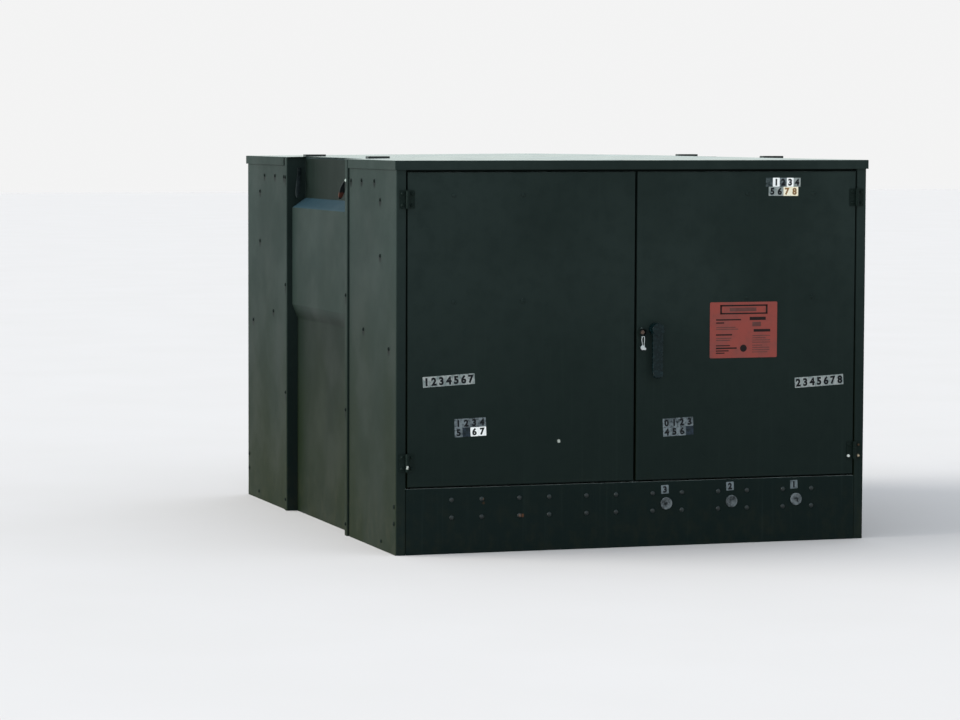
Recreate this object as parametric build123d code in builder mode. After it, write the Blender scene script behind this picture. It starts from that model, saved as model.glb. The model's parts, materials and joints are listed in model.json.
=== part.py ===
from build123d import *
import os

# Roadside switchgear cabinet in folded steel sheet, for a medium voltage cable network.
# Millimetres. The origin is the middle of the footprint on the ground, +Z is up.
# The front faces -Y, +X is to the right seen from the front. The rear doors are the
# front doors turned half round about Z.

# Driving sizes of the housing
body_width = 1707.0
body_depth = 1950.0
roof_edge_z = 1320.0
lip_height = 31.0
lip_overhang = 6.0
roof_rise = 14.0
ridge_width = 60.0
sheet = 3.0
bend = 4.5
seat = 0.3
roof_edge_radius = 3.0

# Corner posts and door openings
post_width = 35.0
jamb_depth = 37.0
stop_flange = 26.0
base_panel_height = 222.0
base_lip = 22.0
header_height = 60.0
header_flange = 38.0
mullion_width = 60.0
mullion_depth = 26.0

# Recessed bay in each side
compartment_length = 591.0
strip_width = 30.0
strip_proud = 6.0
joggle_radius = 1.5
seam_groove = 12.0
seam_overlap = 24.0
notch_inset = 8.0
bay_depth = 66.5
bay_lip = 30.0
hood_reach = 52.0
lower_reach = 31.5
hood_top_z = 1169.0
hood_brow_z = 1132.5
hood_sill_z = 774.0
hood_foot_z = 722.0
bay_top_flange = 25.0

# Base frame and its anchor holes
base_leg = 60.0
base_leg_thickness = 5.0
anchor_from_side = 203.5
anchor_from_front = 35.0
anchor_hole_radius = 9.0

# Doors
door_side_gap = 5.0
door_center_gap = 8.0
door_bottom_gap = 6.0
door_top_gap = 8.5
door_depth = 30.0
door_lip = 16.0
door_edge_radius = 3.0

# Hinges
hinge_height = 60.0
hinge_low_inset = 82.5
hinge_high_inset = 90.0
hinge_leaf = 26.0
hinge_leaf_thickness = 3.0
hinge_stand_off = 8.0
hinge_leaf_start = 4.5
knuckle_radius = 6.0
knuckle_gap = 0.5
hinge_pin_radius = 3.0
running_clearance = 0.05
hinge_bolt_spacing = 38.0
hinge_bolt_inset = 12.0

# Latch in the door on the right
handle_x = 70.0
handle_z = 745.0
hub_radius = 22.0
hub_height = 38.0
grip_length = 168.0
grip_width = 37.0
grip_thickness = 12.0
grip_stand_off = 22.0
grip_kick = 12.0
grip_end_radius = 13.0
spindle_radius = 8.0
spindle_square = 11.0
cam_radius = 34.0
cam_thickness = 4.0
cam_gap = 8.0
cam_pin_radius = 4.0
cam_throw = 25.0
rod_thickness = 3.0
rod_width = 16.0
rod_gap = 0.5
yoke_wall = 7.0
yoke_clearance = 1.0
rod_end_gap = 2.0
guide_clearance = 0.5
guide_wall = 3.0
guide_height = 24.0
guide_offset = 300.0

# Captive lock bolt beside the handle
lock_x = 23.0
lock_z = 735.0
lock_cup_radius = 15.0
lock_cup_height = 12.0
lock_cup_wall = 3.5
lock_head_radius = 8.5
lock_head_height = 7.0
lock_shank_radius = 5.0
lock_shank_length = 22.0

# Wire seal through the lock cup
seal_wire = 2.0
seal_drop = 52.0
seal_bead_radius = 8.5
seal_small_bead_radius = 4.9
seal_overlap = 2.0

# Racks and their bolts inside the front doors
rack_from_hinge = 286.0
rack_spacing_x = 245.0
rack_spacing_z = 357.0
rack_low_z = 847.0
rack_depth = 60.0
rack_bar = 16.0

# Bolted groups on the base panels
pole_spacing = 241.5
group_width = 107.0
group_height = 60.0
group_low_z = 122.0
base_bolt_radius = 8.0
base_bolt_height = 5.0
bracket_width = 150.0
bracket_shelf = 60.0
bracket_bottom_z = 85.0
bracket_top_z = 198.0
bracket_hole_radius = 24.0
indicator_radius = 21.0
indicator_body_radius = 17.0
indicator_length = 34.0
indicator_face = 4.0
indicator_z = 146.0
indicator_shift = -4.0

# Fasteners in the sides
screw_radius = 6.5
screw_height = 4.0
head_taper = 35.0
seam_bolt_radius = 8.0
seam_bolt_inset = 20.0
seam_bolt_z = [162, 105]
strip_screw_z = [1245, 845, 443, 41]
# Each screw by its distance from the front or rear face and its height
panel_screws = [
    (253, 1248), (404, 1248), (532, 1246), (185, 1186), (185, 997), (381, 737), (84, 688), (167, 29),
]

# Roof lugs and hooks in the bays
lug_length = 78.0
lug_width = 34.0
lug_height = 9.0
lug_from_side = 108.0
lug_past_bay = 21.0
hook_width = 20.0
hook_thickness = 5.0
hook_reach = 92.0
hook_top_z = 1262.0
hook_low_z = 1178.0
hook_from_side = 7.0
hook_bend_reach = 50.6
hook_pad = 26.0

# Live parts and their supports
barrier_thickness = 6.0
barrier_floor_gap = 8.0
barrier_roof_gap = 16.7
rail_height = 40.0
rail_depth = 25.0
rail_gap = 22.0
upper_rail_z = 1000.0
jaw_rail_z = 500.0
fuse_rail_z = 560.0
insulator_length = 190.0
insulator_core = 24.0
insulator_shed = 38.0
insulator_sheds = 3
contact_width = 46.0
contact_height = 80.0
contact_depth = 56.0
contact_wall = 12.0
blade_thickness = 8.0
blade_width = 36.0
shaft_radius = 11.0
shaft_end = 30.0
shaft_inset = 18.0
jaw_gap = 12.0
bus_width = 40.0
bus_thickness = 6.0
fuse_radius = 15.0
fuse_side_gap = 2.0
fuse_ferrule_radius = 22.5
fuse_ferrule_length = 60.0
trunnion_radius = 5.0
fuse_ferrule_gap = 6.0
fuse_ring_radius = 14.0
fuse_ring_wall = 5.0
fuse_ring_stem = 1.5
ground_bar_length = 1400.0
ground_bar_height = 25.0
ground_bar_z = 40.0

# Places that follow from the sizes above
half_width = body_width / 2
half_depth = body_depth / 2
front_y = -half_depth
wall_top_z = roof_edge_z - sheet - seat
lip_bottom_z = roof_edge_z - lip_height
jamb_x = half_width - post_width
frame_y = front_y + jamb_depth
bay_x = half_width - bay_depth
bay_half = half_depth - compartment_length
door_bottom_z = base_panel_height + door_bottom_gap
door_top_z = lip_bottom_z - door_top_gap
door_outer_x = jamb_x - door_side_gap
door_inner_x = door_center_gap / 2
hinge_x = jamb_x - door_side_gap / 2
rack_center_x = hinge_x - rack_from_hinge
hinge_y = front_y - hinge_stand_off
poles = [pole_spacing * (i + 0.5) for i in range(3)]
poles_all = [-p for p in reversed(poles)] + poles
contact_y = barrier_thickness / 2 + rail_depth + insulator_length


def save(name, solid):
    """Write one finished piece under its own name."""
    solid.label = name
    export_step(solid, f"parts/{name}.step")


def turned(solid):
    """The same piece on the rear, half a turn about Z."""
    return solid.rotate(Axis.Z, 180)


def four_corners(name, front_left):
    """A piece of the front left corner, and its mirror images at the other corners."""
    front_right = mirror(front_left, about=Plane.YZ)
    save(f"{name}_front_left", front_left)
    save(f"{name}_front_right", front_right)
    save(f"{name}_rear_right", turned(front_left))
    save(f"{name}_rear_left", turned(front_right))


os.makedirs("parts", exist_ok=True)


# Side panel of one compartment: corner post, door jamb and stop flange from one sheet
side_panel_end = -(bay_half + strip_width + seam_groove)
with BuildPart() as side_panel:
    with BuildSketch(Plane.XY):
        with BuildLine():
            FilletPolyline(
                (-jamb_x + stop_flange, frame_y),
                (-jamb_x, frame_y),
                (-jamb_x, front_y),
                (-half_width, front_y),
                (-half_width, side_panel_end),
                radius=bend,
            )
            offset(amount=sheet, side=Side.RIGHT)
        make_face()
    extrude(amount=wall_top_z)
four_corners("side_panel", side_panel.part)

# Jamb of the bay: a flange under the side panel, joggled out to a strip, the bay's end wall and a lip
strip_x = half_width + strip_proud
strip_outer_y = -bay_half - strip_width
with BuildPart() as bay_jamb:
    with BuildSketch(Plane.XY):
        with BuildLine():
            FilletPolyline(
                (-half_width + sheet, side_panel_end - seam_overlap),
                (-half_width + sheet, strip_outer_y),
                (-strip_x, strip_outer_y),
                (-strip_x, -bay_half),
                (-bay_x + sheet, -bay_half),
                (-bay_x + sheet, -bay_half + bay_lip),
                radius=[joggle_radius, bend, bend, bend],
            )
            offset(amount=sheet, side=Side.RIGHT)
        make_face()
    extrude(amount=wall_top_z)
four_corners("bay_jamb", bay_jamb.part)

# Bay panel: one sheet folded out to a hood between the jambs and in again below, with closed ends
bay_panel_half = bay_half - bend
hood_x = bay_x + hood_reach
lower_x = bay_x + lower_reach
with BuildPart() as bay_panel:
    with BuildSketch(Plane.XZ):
        with BuildLine():
            FilletPolyline(
                (-bay_x + bay_top_flange, wall_top_z),
                (-bay_x, wall_top_z),
                (-bay_x, hood_top_z),
                (-hood_x, hood_brow_z),
                (-hood_x, hood_sill_z),
                (-lower_x, hood_foot_z),
                (-lower_x, 0),
                radius=bend,
            )
            offset(amount=sheet, side=Side.LEFT)
        make_face()
    extrude(amount=bay_panel_half, both=True)
    with BuildSketch(Plane.XZ.offset(bay_panel_half)):
        with BuildLine():
            Polyline(
                (-bay_x + sheet, hood_top_z),
                (-bay_x, hood_top_z),
                (-hood_x + sheet / 2, hood_brow_z),
                (-hood_x + sheet / 2, hood_sill_z),
                (-lower_x + sheet / 2, hood_foot_z),
                (-lower_x + sheet / 2, 0),
                (-bay_x + sheet, 0),
                close=True,
            )
        make_face()
    extrude(amount=-sheet)
    mirror(about=Plane.XZ)
    with BuildSketch(Plane.XY.offset(wall_top_z - 2 * bend)):
        with GridLocations(0, 2 * bay_half - bay_lip, 1, 2):
            with Locations((-bay_x + sheet + bay_top_flange / 2, 0)):
                Rectangle(bay_top_flange, bay_lip + 2 * seat)
    extrude(amount=2 * bend, mode=Mode.SUBTRACT)
save("bay_panel_left", bay_panel.part)
save("bay_panel_right", mirror(bay_panel.part, about=Plane.YZ))

# Roof: a shallow hipped sheet, notched over both bays, with a lip that stops at the bays' strips
roof_width = body_width + 2 * lip_overhang
roof_depth = body_depth + 2 * lip_overhang
ridge_depth = ridge_width + roof_depth - roof_width
notch_depth = roof_width / 2 - bay_x
notch_length = 2 * (bay_half - notch_inset)
with BuildPart() as roof:
    with BuildSketch(Plane.XY.offset(lip_bottom_z)):
        Rectangle(roof_width, roof_depth)
    extrude(amount=lip_height)
    fillet(roof.edges().filter_by(Axis.Z) + roof.edges().group_by(Axis.Z)[-1], roof_edge_radius)
    with BuildSketch(Plane.XY.offset(roof_edge_z)):
        Rectangle(roof_width - 2 * roof_edge_radius, roof_depth - 2 * roof_edge_radius)
    with BuildSketch(Plane.XY.offset(roof_edge_z + roof_rise)):
        Rectangle(ridge_width, ridge_depth)
    loft(ruled=True)
    with BuildSketch(Plane.XY.offset(lip_bottom_z)):
        Rectangle(roof_width - 2 * sheet, roof_depth - 2 * sheet)
    extrude(amount=lip_height - sheet, mode=Mode.SUBTRACT)
    with BuildSketch(Plane.XY.offset(roof_edge_z - sheet)):
        Rectangle(roof_width - 2 * sheet, roof_depth - 2 * sheet)
    with BuildSketch(Plane.XY.offset(roof_edge_z - sheet + roof_rise)):
        Rectangle(ridge_width, ridge_depth)
    loft(ruled=True, mode=Mode.SUBTRACT)
    with BuildSketch(Plane.XY.offset(lip_bottom_z)):
        with GridLocations(roof_width - sheet, 0, 2, 1):
            Rectangle(sheet, -2 * side_panel_end)
    extrude(amount=lip_height - sheet, mode=Mode.SUBTRACT)
    with BuildSketch(Plane.XY.offset(roof_edge_z - sheet)):
        with GridLocations(roof_width - notch_depth, 0, 2, 1):
            Rectangle(notch_depth, notch_length)
    extrude(amount=2 * roof_rise, mode=Mode.SUBTRACT)
save("roof", roof.part)

# Base frame: a ring of steel angle with four anchor holes in its flange
frame_half_x = bay_x - 2 * sheet - seat
frame_half_y = half_depth - sheet - seat
with BuildPart() as base_frame:
    with BuildSketch(Plane.XY):
        Rectangle(2 * frame_half_x, 2 * frame_half_y)
        Rectangle(2 * (frame_half_x - base_leg), 2 * (frame_half_y - base_leg), mode=Mode.SUBTRACT)
    extrude(amount=base_leg_thickness)
    with BuildSketch(Plane.XY):
        Rectangle(2 * frame_half_x, 2 * frame_half_y)
        Rectangle(
            2 * (frame_half_x - base_leg_thickness),
            2 * (frame_half_y - base_leg_thickness),
            mode=Mode.SUBTRACT,
        )
    extrude(amount=base_leg)
    with BuildSketch(Plane.XY):
        with GridLocations(2 * (half_width - anchor_from_side), 2 * (half_depth - anchor_from_front), 2, 2):
            Circle(anchor_hole_radius)
    extrude(amount=base_leg_thickness, mode=Mode.SUBTRACT)
save("base_frame", base_frame.part)

# Base panels under the doors, with a flange and a lip along the top
with BuildPart() as rear_panel:
    with BuildSketch(Plane.YZ):
        with BuildLine():
            FilletPolyline(
                (frame_y - seat, base_panel_height - base_lip),
                (frame_y - seat, base_panel_height),
                (front_y, base_panel_height),
                (front_y, 0),
                radius=bend,
            )
            offset(amount=sheet, side=Side.LEFT)
        make_face()
    extrude(amount=jamb_x - seat, both=True)
    with BuildSketch(Plane.XY.offset(base_panel_height - base_lip)):
        with GridLocations(2 * jamb_x, 0, 2, 1):
            with Locations((0, frame_y)):
                Rectangle(2 * (bend + seat), 2 * (bend + seat))
    extrude(amount=base_lip, mode=Mode.SUBTRACT)
save("rear_base_panel", turned(rear_panel.part))

with BuildPart() as front_panel:
    add(rear_panel.part)
    with BuildSketch(Plane.XZ.offset(half_depth)):
        with Locations(*[(p + indicator_shift, indicator_z) for p in poles]):
            Circle(indicator_body_radius + seat)
    extrude(amount=-2 * sheet, mode=Mode.SUBTRACT)
save("front_base_panel", front_panel.part)

# Door frame: header and middle post welded to one T
with BuildPart() as door_frame:
    with BuildSketch(Plane.YZ):
        with BuildLine():
            FilletPolyline(
                (frame_y, wall_top_z - header_height),
                (frame_y, wall_top_z),
                (frame_y + header_flange, wall_top_z),
                radius=bend,
            )
            offset(amount=sheet, side=Side.RIGHT)
        make_face()
    extrude(amount=jamb_x - stop_flange - seat, both=True)
    with BuildSketch(Plane.XY.offset(base_panel_height - base_lip)):
        with BuildLine():
            FilletPolyline(
                (-mullion_width / 2, frame_y + mullion_depth),
                (-mullion_width / 2, frame_y),
                (mullion_width / 2, frame_y),
                (mullion_width / 2, frame_y + mullion_depth),
                radius=bend,
            )
            offset(amount=sheet, side=Side.LEFT)
        make_face()
    extrude(amount=wall_top_z - header_height - base_panel_height + base_lip)
save("front_door_frame", door_frame.part)
save("rear_door_frame", turned(door_frame.part))


# Doors: flanged pans with a lip round the back
def door_pan():
    """The plain pan of a right hand door."""
    width = door_outer_x - door_inner_x
    height = door_top_z - door_bottom_z
    middle = Plane(
        origin=((door_outer_x + door_inner_x) / 2, front_y, (door_top_z + door_bottom_z) / 2),
        x_dir=(1, 0, 0),
        z_dir=(0, 1, 0),
    )
    with BuildPart() as pan:
        with BuildSketch(middle):
            Rectangle(width, height)
        extrude(amount=door_depth)
        fillet(pan.faces().sort_by(Axis.Y)[0].edges(), door_edge_radius)
        with BuildSketch(middle.offset(sheet)):
            Rectangle(width - 2 * sheet, height - 2 * sheet)
        extrude(amount=door_depth - 2 * sheet, mode=Mode.SUBTRACT)
        with BuildSketch(middle.offset(sheet)):
            Rectangle(width - 2 * door_lip, height - 2 * door_lip)
        extrude(amount=door_depth, mode=Mode.SUBTRACT)
    return pan.part


# Depths of the latch pieces, counted back from the door's outer face
cam_y = front_y + sheet + cam_gap
upper_rod_y = cam_y + cam_thickness + rod_gap
lower_rod_y = upper_rod_y + rod_thickness + rod_gap
# A pin on a circle runs ahead of an even slide by up to a fifth of its throw, so the slots give a quarter
cam_lead = cam_throw / 4
guide_back_y = lower_rod_y + rod_thickness + guide_clearance + guide_wall
door_skin_y = front_y + sheet


def guide(middle_z, rod_y):
    """Hoop on the inside of the door that a latch rod slides through."""
    outer_width = rod_width + 2 * (guide_clearance + guide_wall)
    with BuildPart() as hoop:
        with BuildSketch(Plane.XY.offset(middle_z - guide_height / 2)):
            with Locations((handle_x, (door_skin_y + guide_back_y) / 2)):
                Rectangle(outer_width, guide_back_y - door_skin_y)
            with Locations((handle_x, rod_y + rod_thickness / 2)):
                Rectangle(
                    rod_width + 2 * guide_clearance,
                    rod_thickness + 2 * guide_clearance,
                    mode=Mode.SUBTRACT,
                )
        extrude(amount=guide_height)
    return hoop.part


with BuildPart() as latch_door:
    add(door_pan())
    add(guide(handle_z + guide_offset, upper_rod_y))
    add(guide(handle_z - guide_offset, lower_rod_y))
    with BuildSketch(Plane.XZ.offset(half_depth + lock_cup_height)):
        with Locations((lock_x, lock_z)):
            Circle(lock_cup_radius)
            Circle(lock_cup_radius - lock_cup_wall, mode=Mode.SUBTRACT)
    extrude(amount=-lock_cup_height)
    with BuildSketch(Plane.XZ.offset(half_depth)):
        with Locations((handle_x, handle_z)):
            Circle(spindle_radius + running_clearance)
        with Locations((lock_x, lock_z)):
            Circle(lock_shank_radius + running_clearance)
    extrude(amount=-sheet, mode=Mode.SUBTRACT)
save("front_right_door", latch_door.part)
save("rear_left_door", turned(latch_door.part))

plain_door = mirror(door_pan(), about=Plane.YZ)
save("front_left_door", plain_door)
save("rear_right_door", turned(plain_door))


# Hinges
def bolt_head(plane, spots, radius, height):
    """Low eight sided heads on a plane."""
    with BuildPart() as heads:
        with BuildSketch(plane):
            with Locations(*spots):
                RegularPolygon(radius, 8)
        extrude(amount=height, taper=head_taper)
    return heads.part


knuckle_third = hinge_height / 3


def knuckle(low_z, high_z, bore):
    """One barrel of a hinge about the axis of the right hand door."""
    with BuildPart() as barrel:
        with BuildSketch(Plane.XY.offset(low_z)):
            with Locations((hinge_x, hinge_y)):
                Circle(knuckle_radius)
                if bore:
                    Circle(bore, mode=Mode.SUBTRACT)
        extrude(amount=high_z - low_z)
    return barrel.part


def leaf(side, bands, middle_z):
    """A hinge leaf on one side of the axis, reaching the barrel in the given height bands."""
    sign = 1 if side == "frame" else -1
    low_z = middle_z - hinge_height / 2
    leaf_plane = Plane.XZ.offset(half_depth + hinge_leaf_thickness)
    with BuildPart() as plate:
        with BuildSketch(leaf_plane):
            with Locations((hinge_x + sign * (hinge_leaf + hinge_leaf_start) / 2, middle_z)):
                Rectangle(hinge_leaf - hinge_leaf_start, hinge_height)
        extrude(amount=-hinge_leaf_thickness)
        for start, stop in bands:
            with BuildSketch(leaf_plane):
                with Locations((hinge_x + sign * hinge_leaf_start / 2, low_z + (start + stop) / 2)):
                    Rectangle(hinge_leaf_start + sheet / 10, stop - start)
            extrude(amount=-hinge_leaf_thickness)
        bolt_x = hinge_x + sign * (hinge_leaf_start + hinge_bolt_inset)
        bolt_z = hinge_bolt_spacing / 2
        heads = bolt_head(
            leaf_plane,
            [(bolt_x, middle_z - bolt_z), (bolt_x, middle_z + bolt_z)],
            screw_radius,
            screw_height,
        )
        add(heads)
    return plate.part


def frame_half(middle_z):
    """Two barrels, the pin and a leaf on the corner post."""
    low_z = middle_z - hinge_height / 2
    top_z = middle_z + hinge_height / 2
    with BuildPart() as half:
        add(knuckle(low_z, low_z + knuckle_third - knuckle_gap, None))
        add(knuckle(top_z - knuckle_third + knuckle_gap, top_z, None))
        add(leaf("frame", [(0, knuckle_third - knuckle_gap), (2 * knuckle_third + knuckle_gap, hinge_height)],
                 middle_z))
        with BuildSketch(Plane.XY.offset(low_z)):
            with Locations((hinge_x, hinge_y)):
                Circle(hinge_pin_radius)
        extrude(amount=hinge_height)
    return half.part


def door_half(middle_z):
    """The middle barrel with its bore, and a leaf on the door."""
    low_z = middle_z - hinge_height / 2
    with BuildPart() as half:
        add(leaf("door", [(knuckle_third, 2 * knuckle_third)], middle_z))
        add(knuckle(low_z + knuckle_third, low_z + 2 * knuckle_third, None))
        with BuildSketch(Plane.XY.offset(low_z)):
            with Locations((hinge_x, hinge_y)):
                Circle(hinge_pin_radius + running_clearance)
        extrude(amount=hinge_height, mode=Mode.SUBTRACT)
    return half.part


hinge_heights = (door_bottom_z + hinge_low_inset, door_top_z - hinge_high_inset)
right_frame_halves = [frame_half(z) for z in hinge_heights]
left_frame_halves = [mirror(h, about=Plane.YZ) for h in right_frame_halves]
front_halves = right_frame_halves + left_frame_halves
save("frame_hinge_halves", Compound(children=front_halves + [turned(h) for h in front_halves]))

right_door_halves = [door_half(z) for z in hinge_heights]
left_door_halves = [mirror(h, about=Plane.YZ) for h in right_door_halves]
save("front_right_hinge_halves", Compound(children=right_door_halves))
save("front_left_hinge_halves", Compound(children=left_door_halves))
save("rear_left_hinge_halves", Compound(children=[turned(h) for h in right_door_halves]))
save("rear_right_hinge_halves", Compound(children=[turned(h) for h in left_door_halves]))

# Handle: a hub with its spindle, and a flat grip that kicks outwards at its end
grip_back_y = front_y - grip_stand_off
grip_end_z = handle_z - grip_length
with BuildPart() as handle:
    with BuildSketch(Plane.YZ.offset(handle_x - grip_width / 2)):
        with BuildLine():
            FilletPolyline(
                (grip_back_y, handle_z),
                (grip_back_y, grip_end_z + 2 * grip_kick),
                (grip_back_y - grip_kick, grip_end_z),
                radius=grip_kick,
            )
            offset(amount=grip_thickness, side=Side.RIGHT)
        make_face()
    extrude(amount=grip_width)
    end_corners = handle.faces().sort_by(Axis.Z)[0].edges().filter_by(Axis.X, reverse=True)
    fillet(end_corners, grip_end_radius)
    grip_sides = handle.edges().filter_by(Axis.X, reverse=True).filter_by_position(
        Axis.Z, grip_end_z, handle_z - 1
    )
    fillet(grip_sides.group_by(Axis.X)[0], grip_thickness / 3)
    far_sides = handle.edges().filter_by(Axis.X, reverse=True).filter_by_position(
        Axis.Z, grip_end_z, handle_z - 1
    )
    fillet(far_sides.group_by(Axis.X)[-1], grip_thickness / 3)
    with BuildSketch(Plane.XZ.offset(half_depth + seat)):
        with Locations((handle_x, handle_z)):
            Circle(hub_radius)
    extrude(amount=hub_height)
    fillet(handle.faces().filter_by(Plane.XZ).sort_by(Axis.Y)[0].edges(), sheet)
    with BuildSketch(Plane.XZ.offset(half_depth + seat)):
        with Locations((handle_x, handle_z)):
            Circle(spindle_radius)
    extrude(amount=-(sheet + cam_gap))
    with BuildSketch(Plane.XZ.offset(-cam_y + seat)):
        with Locations((handle_x, handle_z)):
            Rectangle(spindle_square, spindle_square)
    extrude(amount=-(cam_thickness + seat))
save("front_handle", handle.part)
save("rear_handle", turned(handle.part))

# Cam on the spindle's square, with two pins that work the rods
cam_plane = Plane.XZ.offset(-cam_y)
with BuildPart() as cam:
    with BuildSketch(cam_plane):
        with Locations((handle_x, handle_z)):
            Circle(cam_radius)
            Rectangle(spindle_square + 2 * seat, spindle_square + 2 * seat, mode=Mode.SUBTRACT)
    extrude(amount=-cam_thickness)
    with BuildSketch(cam_plane):
        with Locations((handle_x, handle_z + cam_throw), (handle_x, handle_z - cam_throw)):
            Circle(cam_pin_radius)
    extrude(amount=-(lower_rod_y + rod_thickness - cam_y))
save("front_latch_cam", cam.part)
save("rear_latch_cam", turned(cam.part))


def latch_rod(way, rod_y, end_z):
    """Flat bar with a slotted yoke over one cam pin; way is 1 for the upper rod."""
    pin_z = handle_z + way * cam_throw
    slot_near = cam_pin_radius + yoke_clearance
    slot_far = slot_near + cam_lead
    slot_left = slot_near + cam_throw
    slot_width = slot_left + slot_near
    slot_height = slot_near + slot_far
    slot_x = handle_x - way * (slot_left - slot_near) / 2
    slot_z = pin_z + way * (slot_far - slot_near) / 2
    far_edge = slot_z + way * (slot_height / 2 + yoke_wall)
    with BuildPart() as rod:
        with BuildSketch(Plane.XZ.offset(-rod_y)):
            with Locations((slot_x, slot_z)):
                Rectangle(slot_width + 2 * yoke_wall, slot_height + 2 * yoke_wall)
            with Locations((handle_x, (far_edge + end_z) / 2 - way * yoke_wall / 2)):
                Rectangle(rod_width, abs(end_z - far_edge) + yoke_wall)
            with Locations((slot_x, slot_z)):
                Rectangle(slot_width, slot_height, mode=Mode.SUBTRACT)
        extrude(amount=-rod_thickness)
    return rod.part


upper_rod = latch_rod(1, upper_rod_y, door_top_z - sheet - rod_end_gap)
lower_rod = latch_rod(-1, lower_rod_y, door_bottom_z + sheet + rod_end_gap)
save("front_upper_rod", upper_rod)
save("front_lower_rod", lower_rod)
save("rear_upper_rod", turned(upper_rod))
save("rear_lower_rod", turned(lower_rod))

# Captive bolt with a five sided head in its cup, and its nut behind the door sheet
with BuildPart() as lock_bolt:
    with BuildSketch(Plane.XZ.offset(half_depth + seat)):
        with Locations((lock_x, lock_z)):
            RegularPolygon(lock_head_radius, 5)
    extrude(amount=lock_head_height)
    with BuildSketch(Plane.XZ.offset(half_depth + seat)):
        with Locations((lock_x, lock_z)):
            Circle(lock_shank_radius)
    extrude(amount=-lock_shank_length)
    with BuildSketch(Plane.XZ.offset(-(door_skin_y + seat))):
        with Locations((lock_x, lock_z)):
            Circle(lock_head_radius)
    extrude(amount=-sheet)
save("front_lock_bolt", lock_bolt.part)
save("rear_lock_bolt", turned(lock_bolt.part))

# Wire seal: a loop of wire over the cup's rim and two crimped beads
seal_y = front_y - lock_cup_height
seal_low_z = lock_z - seal_drop
with BuildPart() as wire_seal:
    with BuildSketch(Plane.XZ.offset(-seal_y + seat)):
        with BuildLine():
            Polyline(
                (lock_x - seal_bead_radius, lock_z - lock_cup_radius + seal_overlap),
                (lock_x + seal_bead_radius, lock_z - lock_cup_radius + seal_overlap),
                (lock_x + seal_wire, seal_low_z),
                (lock_x - seal_wire, seal_low_z),
                close=True,
            )
        make_face()
        offset(amount=-seal_wire, mode=Mode.SUBTRACT)
    extrude(amount=seal_wire)
    with BuildSketch(Plane.XZ.offset(-seal_y + seat)):
        with Locations((lock_x - seal_wire, seal_low_z)):
            Circle(seal_bead_radius)
        with Locations((lock_x + 3 * seal_wire, seal_low_z - 2 * seal_wire)):
            Circle(seal_small_bead_radius)
    extrude(amount=2 * seal_wire)
save("wire_seal", wire_seal.part)


# Racks on the insides of the front doors, held by four bolts each through the door
def storage_rack():
    """Open rack of flat bar with four bolts that show on the outside of the right hand door."""
    rack_z = rack_low_z + rack_spacing_z / 2
    with BuildPart() as rack:
        with BuildSketch(Plane.XZ.offset(-door_skin_y)):
            with GridLocations(rack_spacing_x, 0, 2, 1):
                with Locations((rack_center_x, rack_z)):
                    Rectangle(rack_bar, rack_spacing_z + 2 * rack_bar)
        extrude(amount=-sheet)
        shelf_z = [rack_low_z - rack_bar, rack_z, rack_low_z + rack_spacing_z + rack_bar - sheet]
        for z in shelf_z[:2]:
            with BuildSketch(Plane.XY.offset(z)):
                with Locations((rack_center_x, door_skin_y + rack_depth / 2)):
                    Rectangle(rack_spacing_x + rack_bar, rack_depth)
            extrude(amount=sheet)
            with BuildSketch(Plane.XY.offset(z)):
                with Locations((rack_center_x, door_skin_y + rack_depth - sheet / 2)):
                    Rectangle(rack_spacing_x + rack_bar, sheet)
            extrude(amount=rack_bar * 2)
        with BuildSketch(Plane.XY.offset(shelf_z[2])):
            with Locations((rack_center_x, door_skin_y + sheet)):
                Rectangle(rack_spacing_x + rack_bar, 2 * sheet)
        extrude(amount=sheet)
    with BuildPart() as bolts:
        spots = [
            (rack_center_x + i * rack_spacing_x / 2, rack_z + j * rack_spacing_z / 2)
            for i in (-1, 1)
            for j in (-1, 1)
        ]
        add(bolt_head(Plane.XZ.offset(half_depth), spots, screw_radius, screw_height))
    return rack.part, bolts.part


right_rack, right_rack_bolts = storage_rack()
right_rack_pieces = [right_rack] + right_rack_bolts.solids()
save("right_storage_rack", Compound(children=right_rack_pieces))
save("left_storage_rack", Compound(children=[mirror(s, about=Plane.YZ) for s in right_rack_pieces]))

# Bolts on the base panels in groups of four, one group to each pole
with BuildPart() as front_base_bolts:
    spots = [
        (pole + i * group_width / 2, group_low_z + j * group_height)
        for pole in poles_all
        for i in (-1, 1)
        for j in (0, 1)
    ]
    add(bolt_head(Plane.XZ.offset(half_depth), spots, base_bolt_radius, base_bolt_height))
front_heads = front_base_bolts.part.solids()
save("base_bolts", Compound(children=front_heads + [turned(h) for h in front_heads]))

# Cable brackets behind the bolts: an angle with a shelf and an opening for the indicator
with BuildPart() as bracket:
    with BuildSketch(Plane.YZ):
        with BuildLine():
            FilletPolyline(
                (front_y + sheet, bracket_top_z),
                (front_y + sheet, bracket_bottom_z),
                (front_y + sheet + bracket_shelf, bracket_bottom_z),
                radius=bend,
            )
            offset(amount=sheet, side=Side.LEFT)
        make_face()
    extrude(amount=bracket_width / 2, both=True)
    with BuildSketch(Plane.XZ.offset(half_depth)):
        with Locations((0, indicator_z)):
            Circle(bracket_hole_radius)
    extrude(amount=-3 * sheet, mode=Mode.SUBTRACT)
front_brackets = [bracket.part.moved(Location((p, 0, 0))) for p in poles_all]
save("cable_brackets", Compound(children=front_brackets + [turned(b) for b in front_brackets]))

# Fault indicators: a round face on the base panel and a body behind it
with BuildPart() as fault_indicators:
    with BuildSketch(Plane.XZ.offset(half_depth)):
        with Locations(*[(p + indicator_shift, indicator_z) for p in poles]):
            Circle(indicator_radius)
    extrude(amount=indicator_face)
    with BuildSketch(Plane.XZ.offset(half_depth)):
        with Locations(*[(p + indicator_shift, indicator_z) for p in poles]):
            Circle(indicator_body_radius)
    extrude(amount=-indicator_length)
save("fault_indicators", fault_indicators.part)

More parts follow.
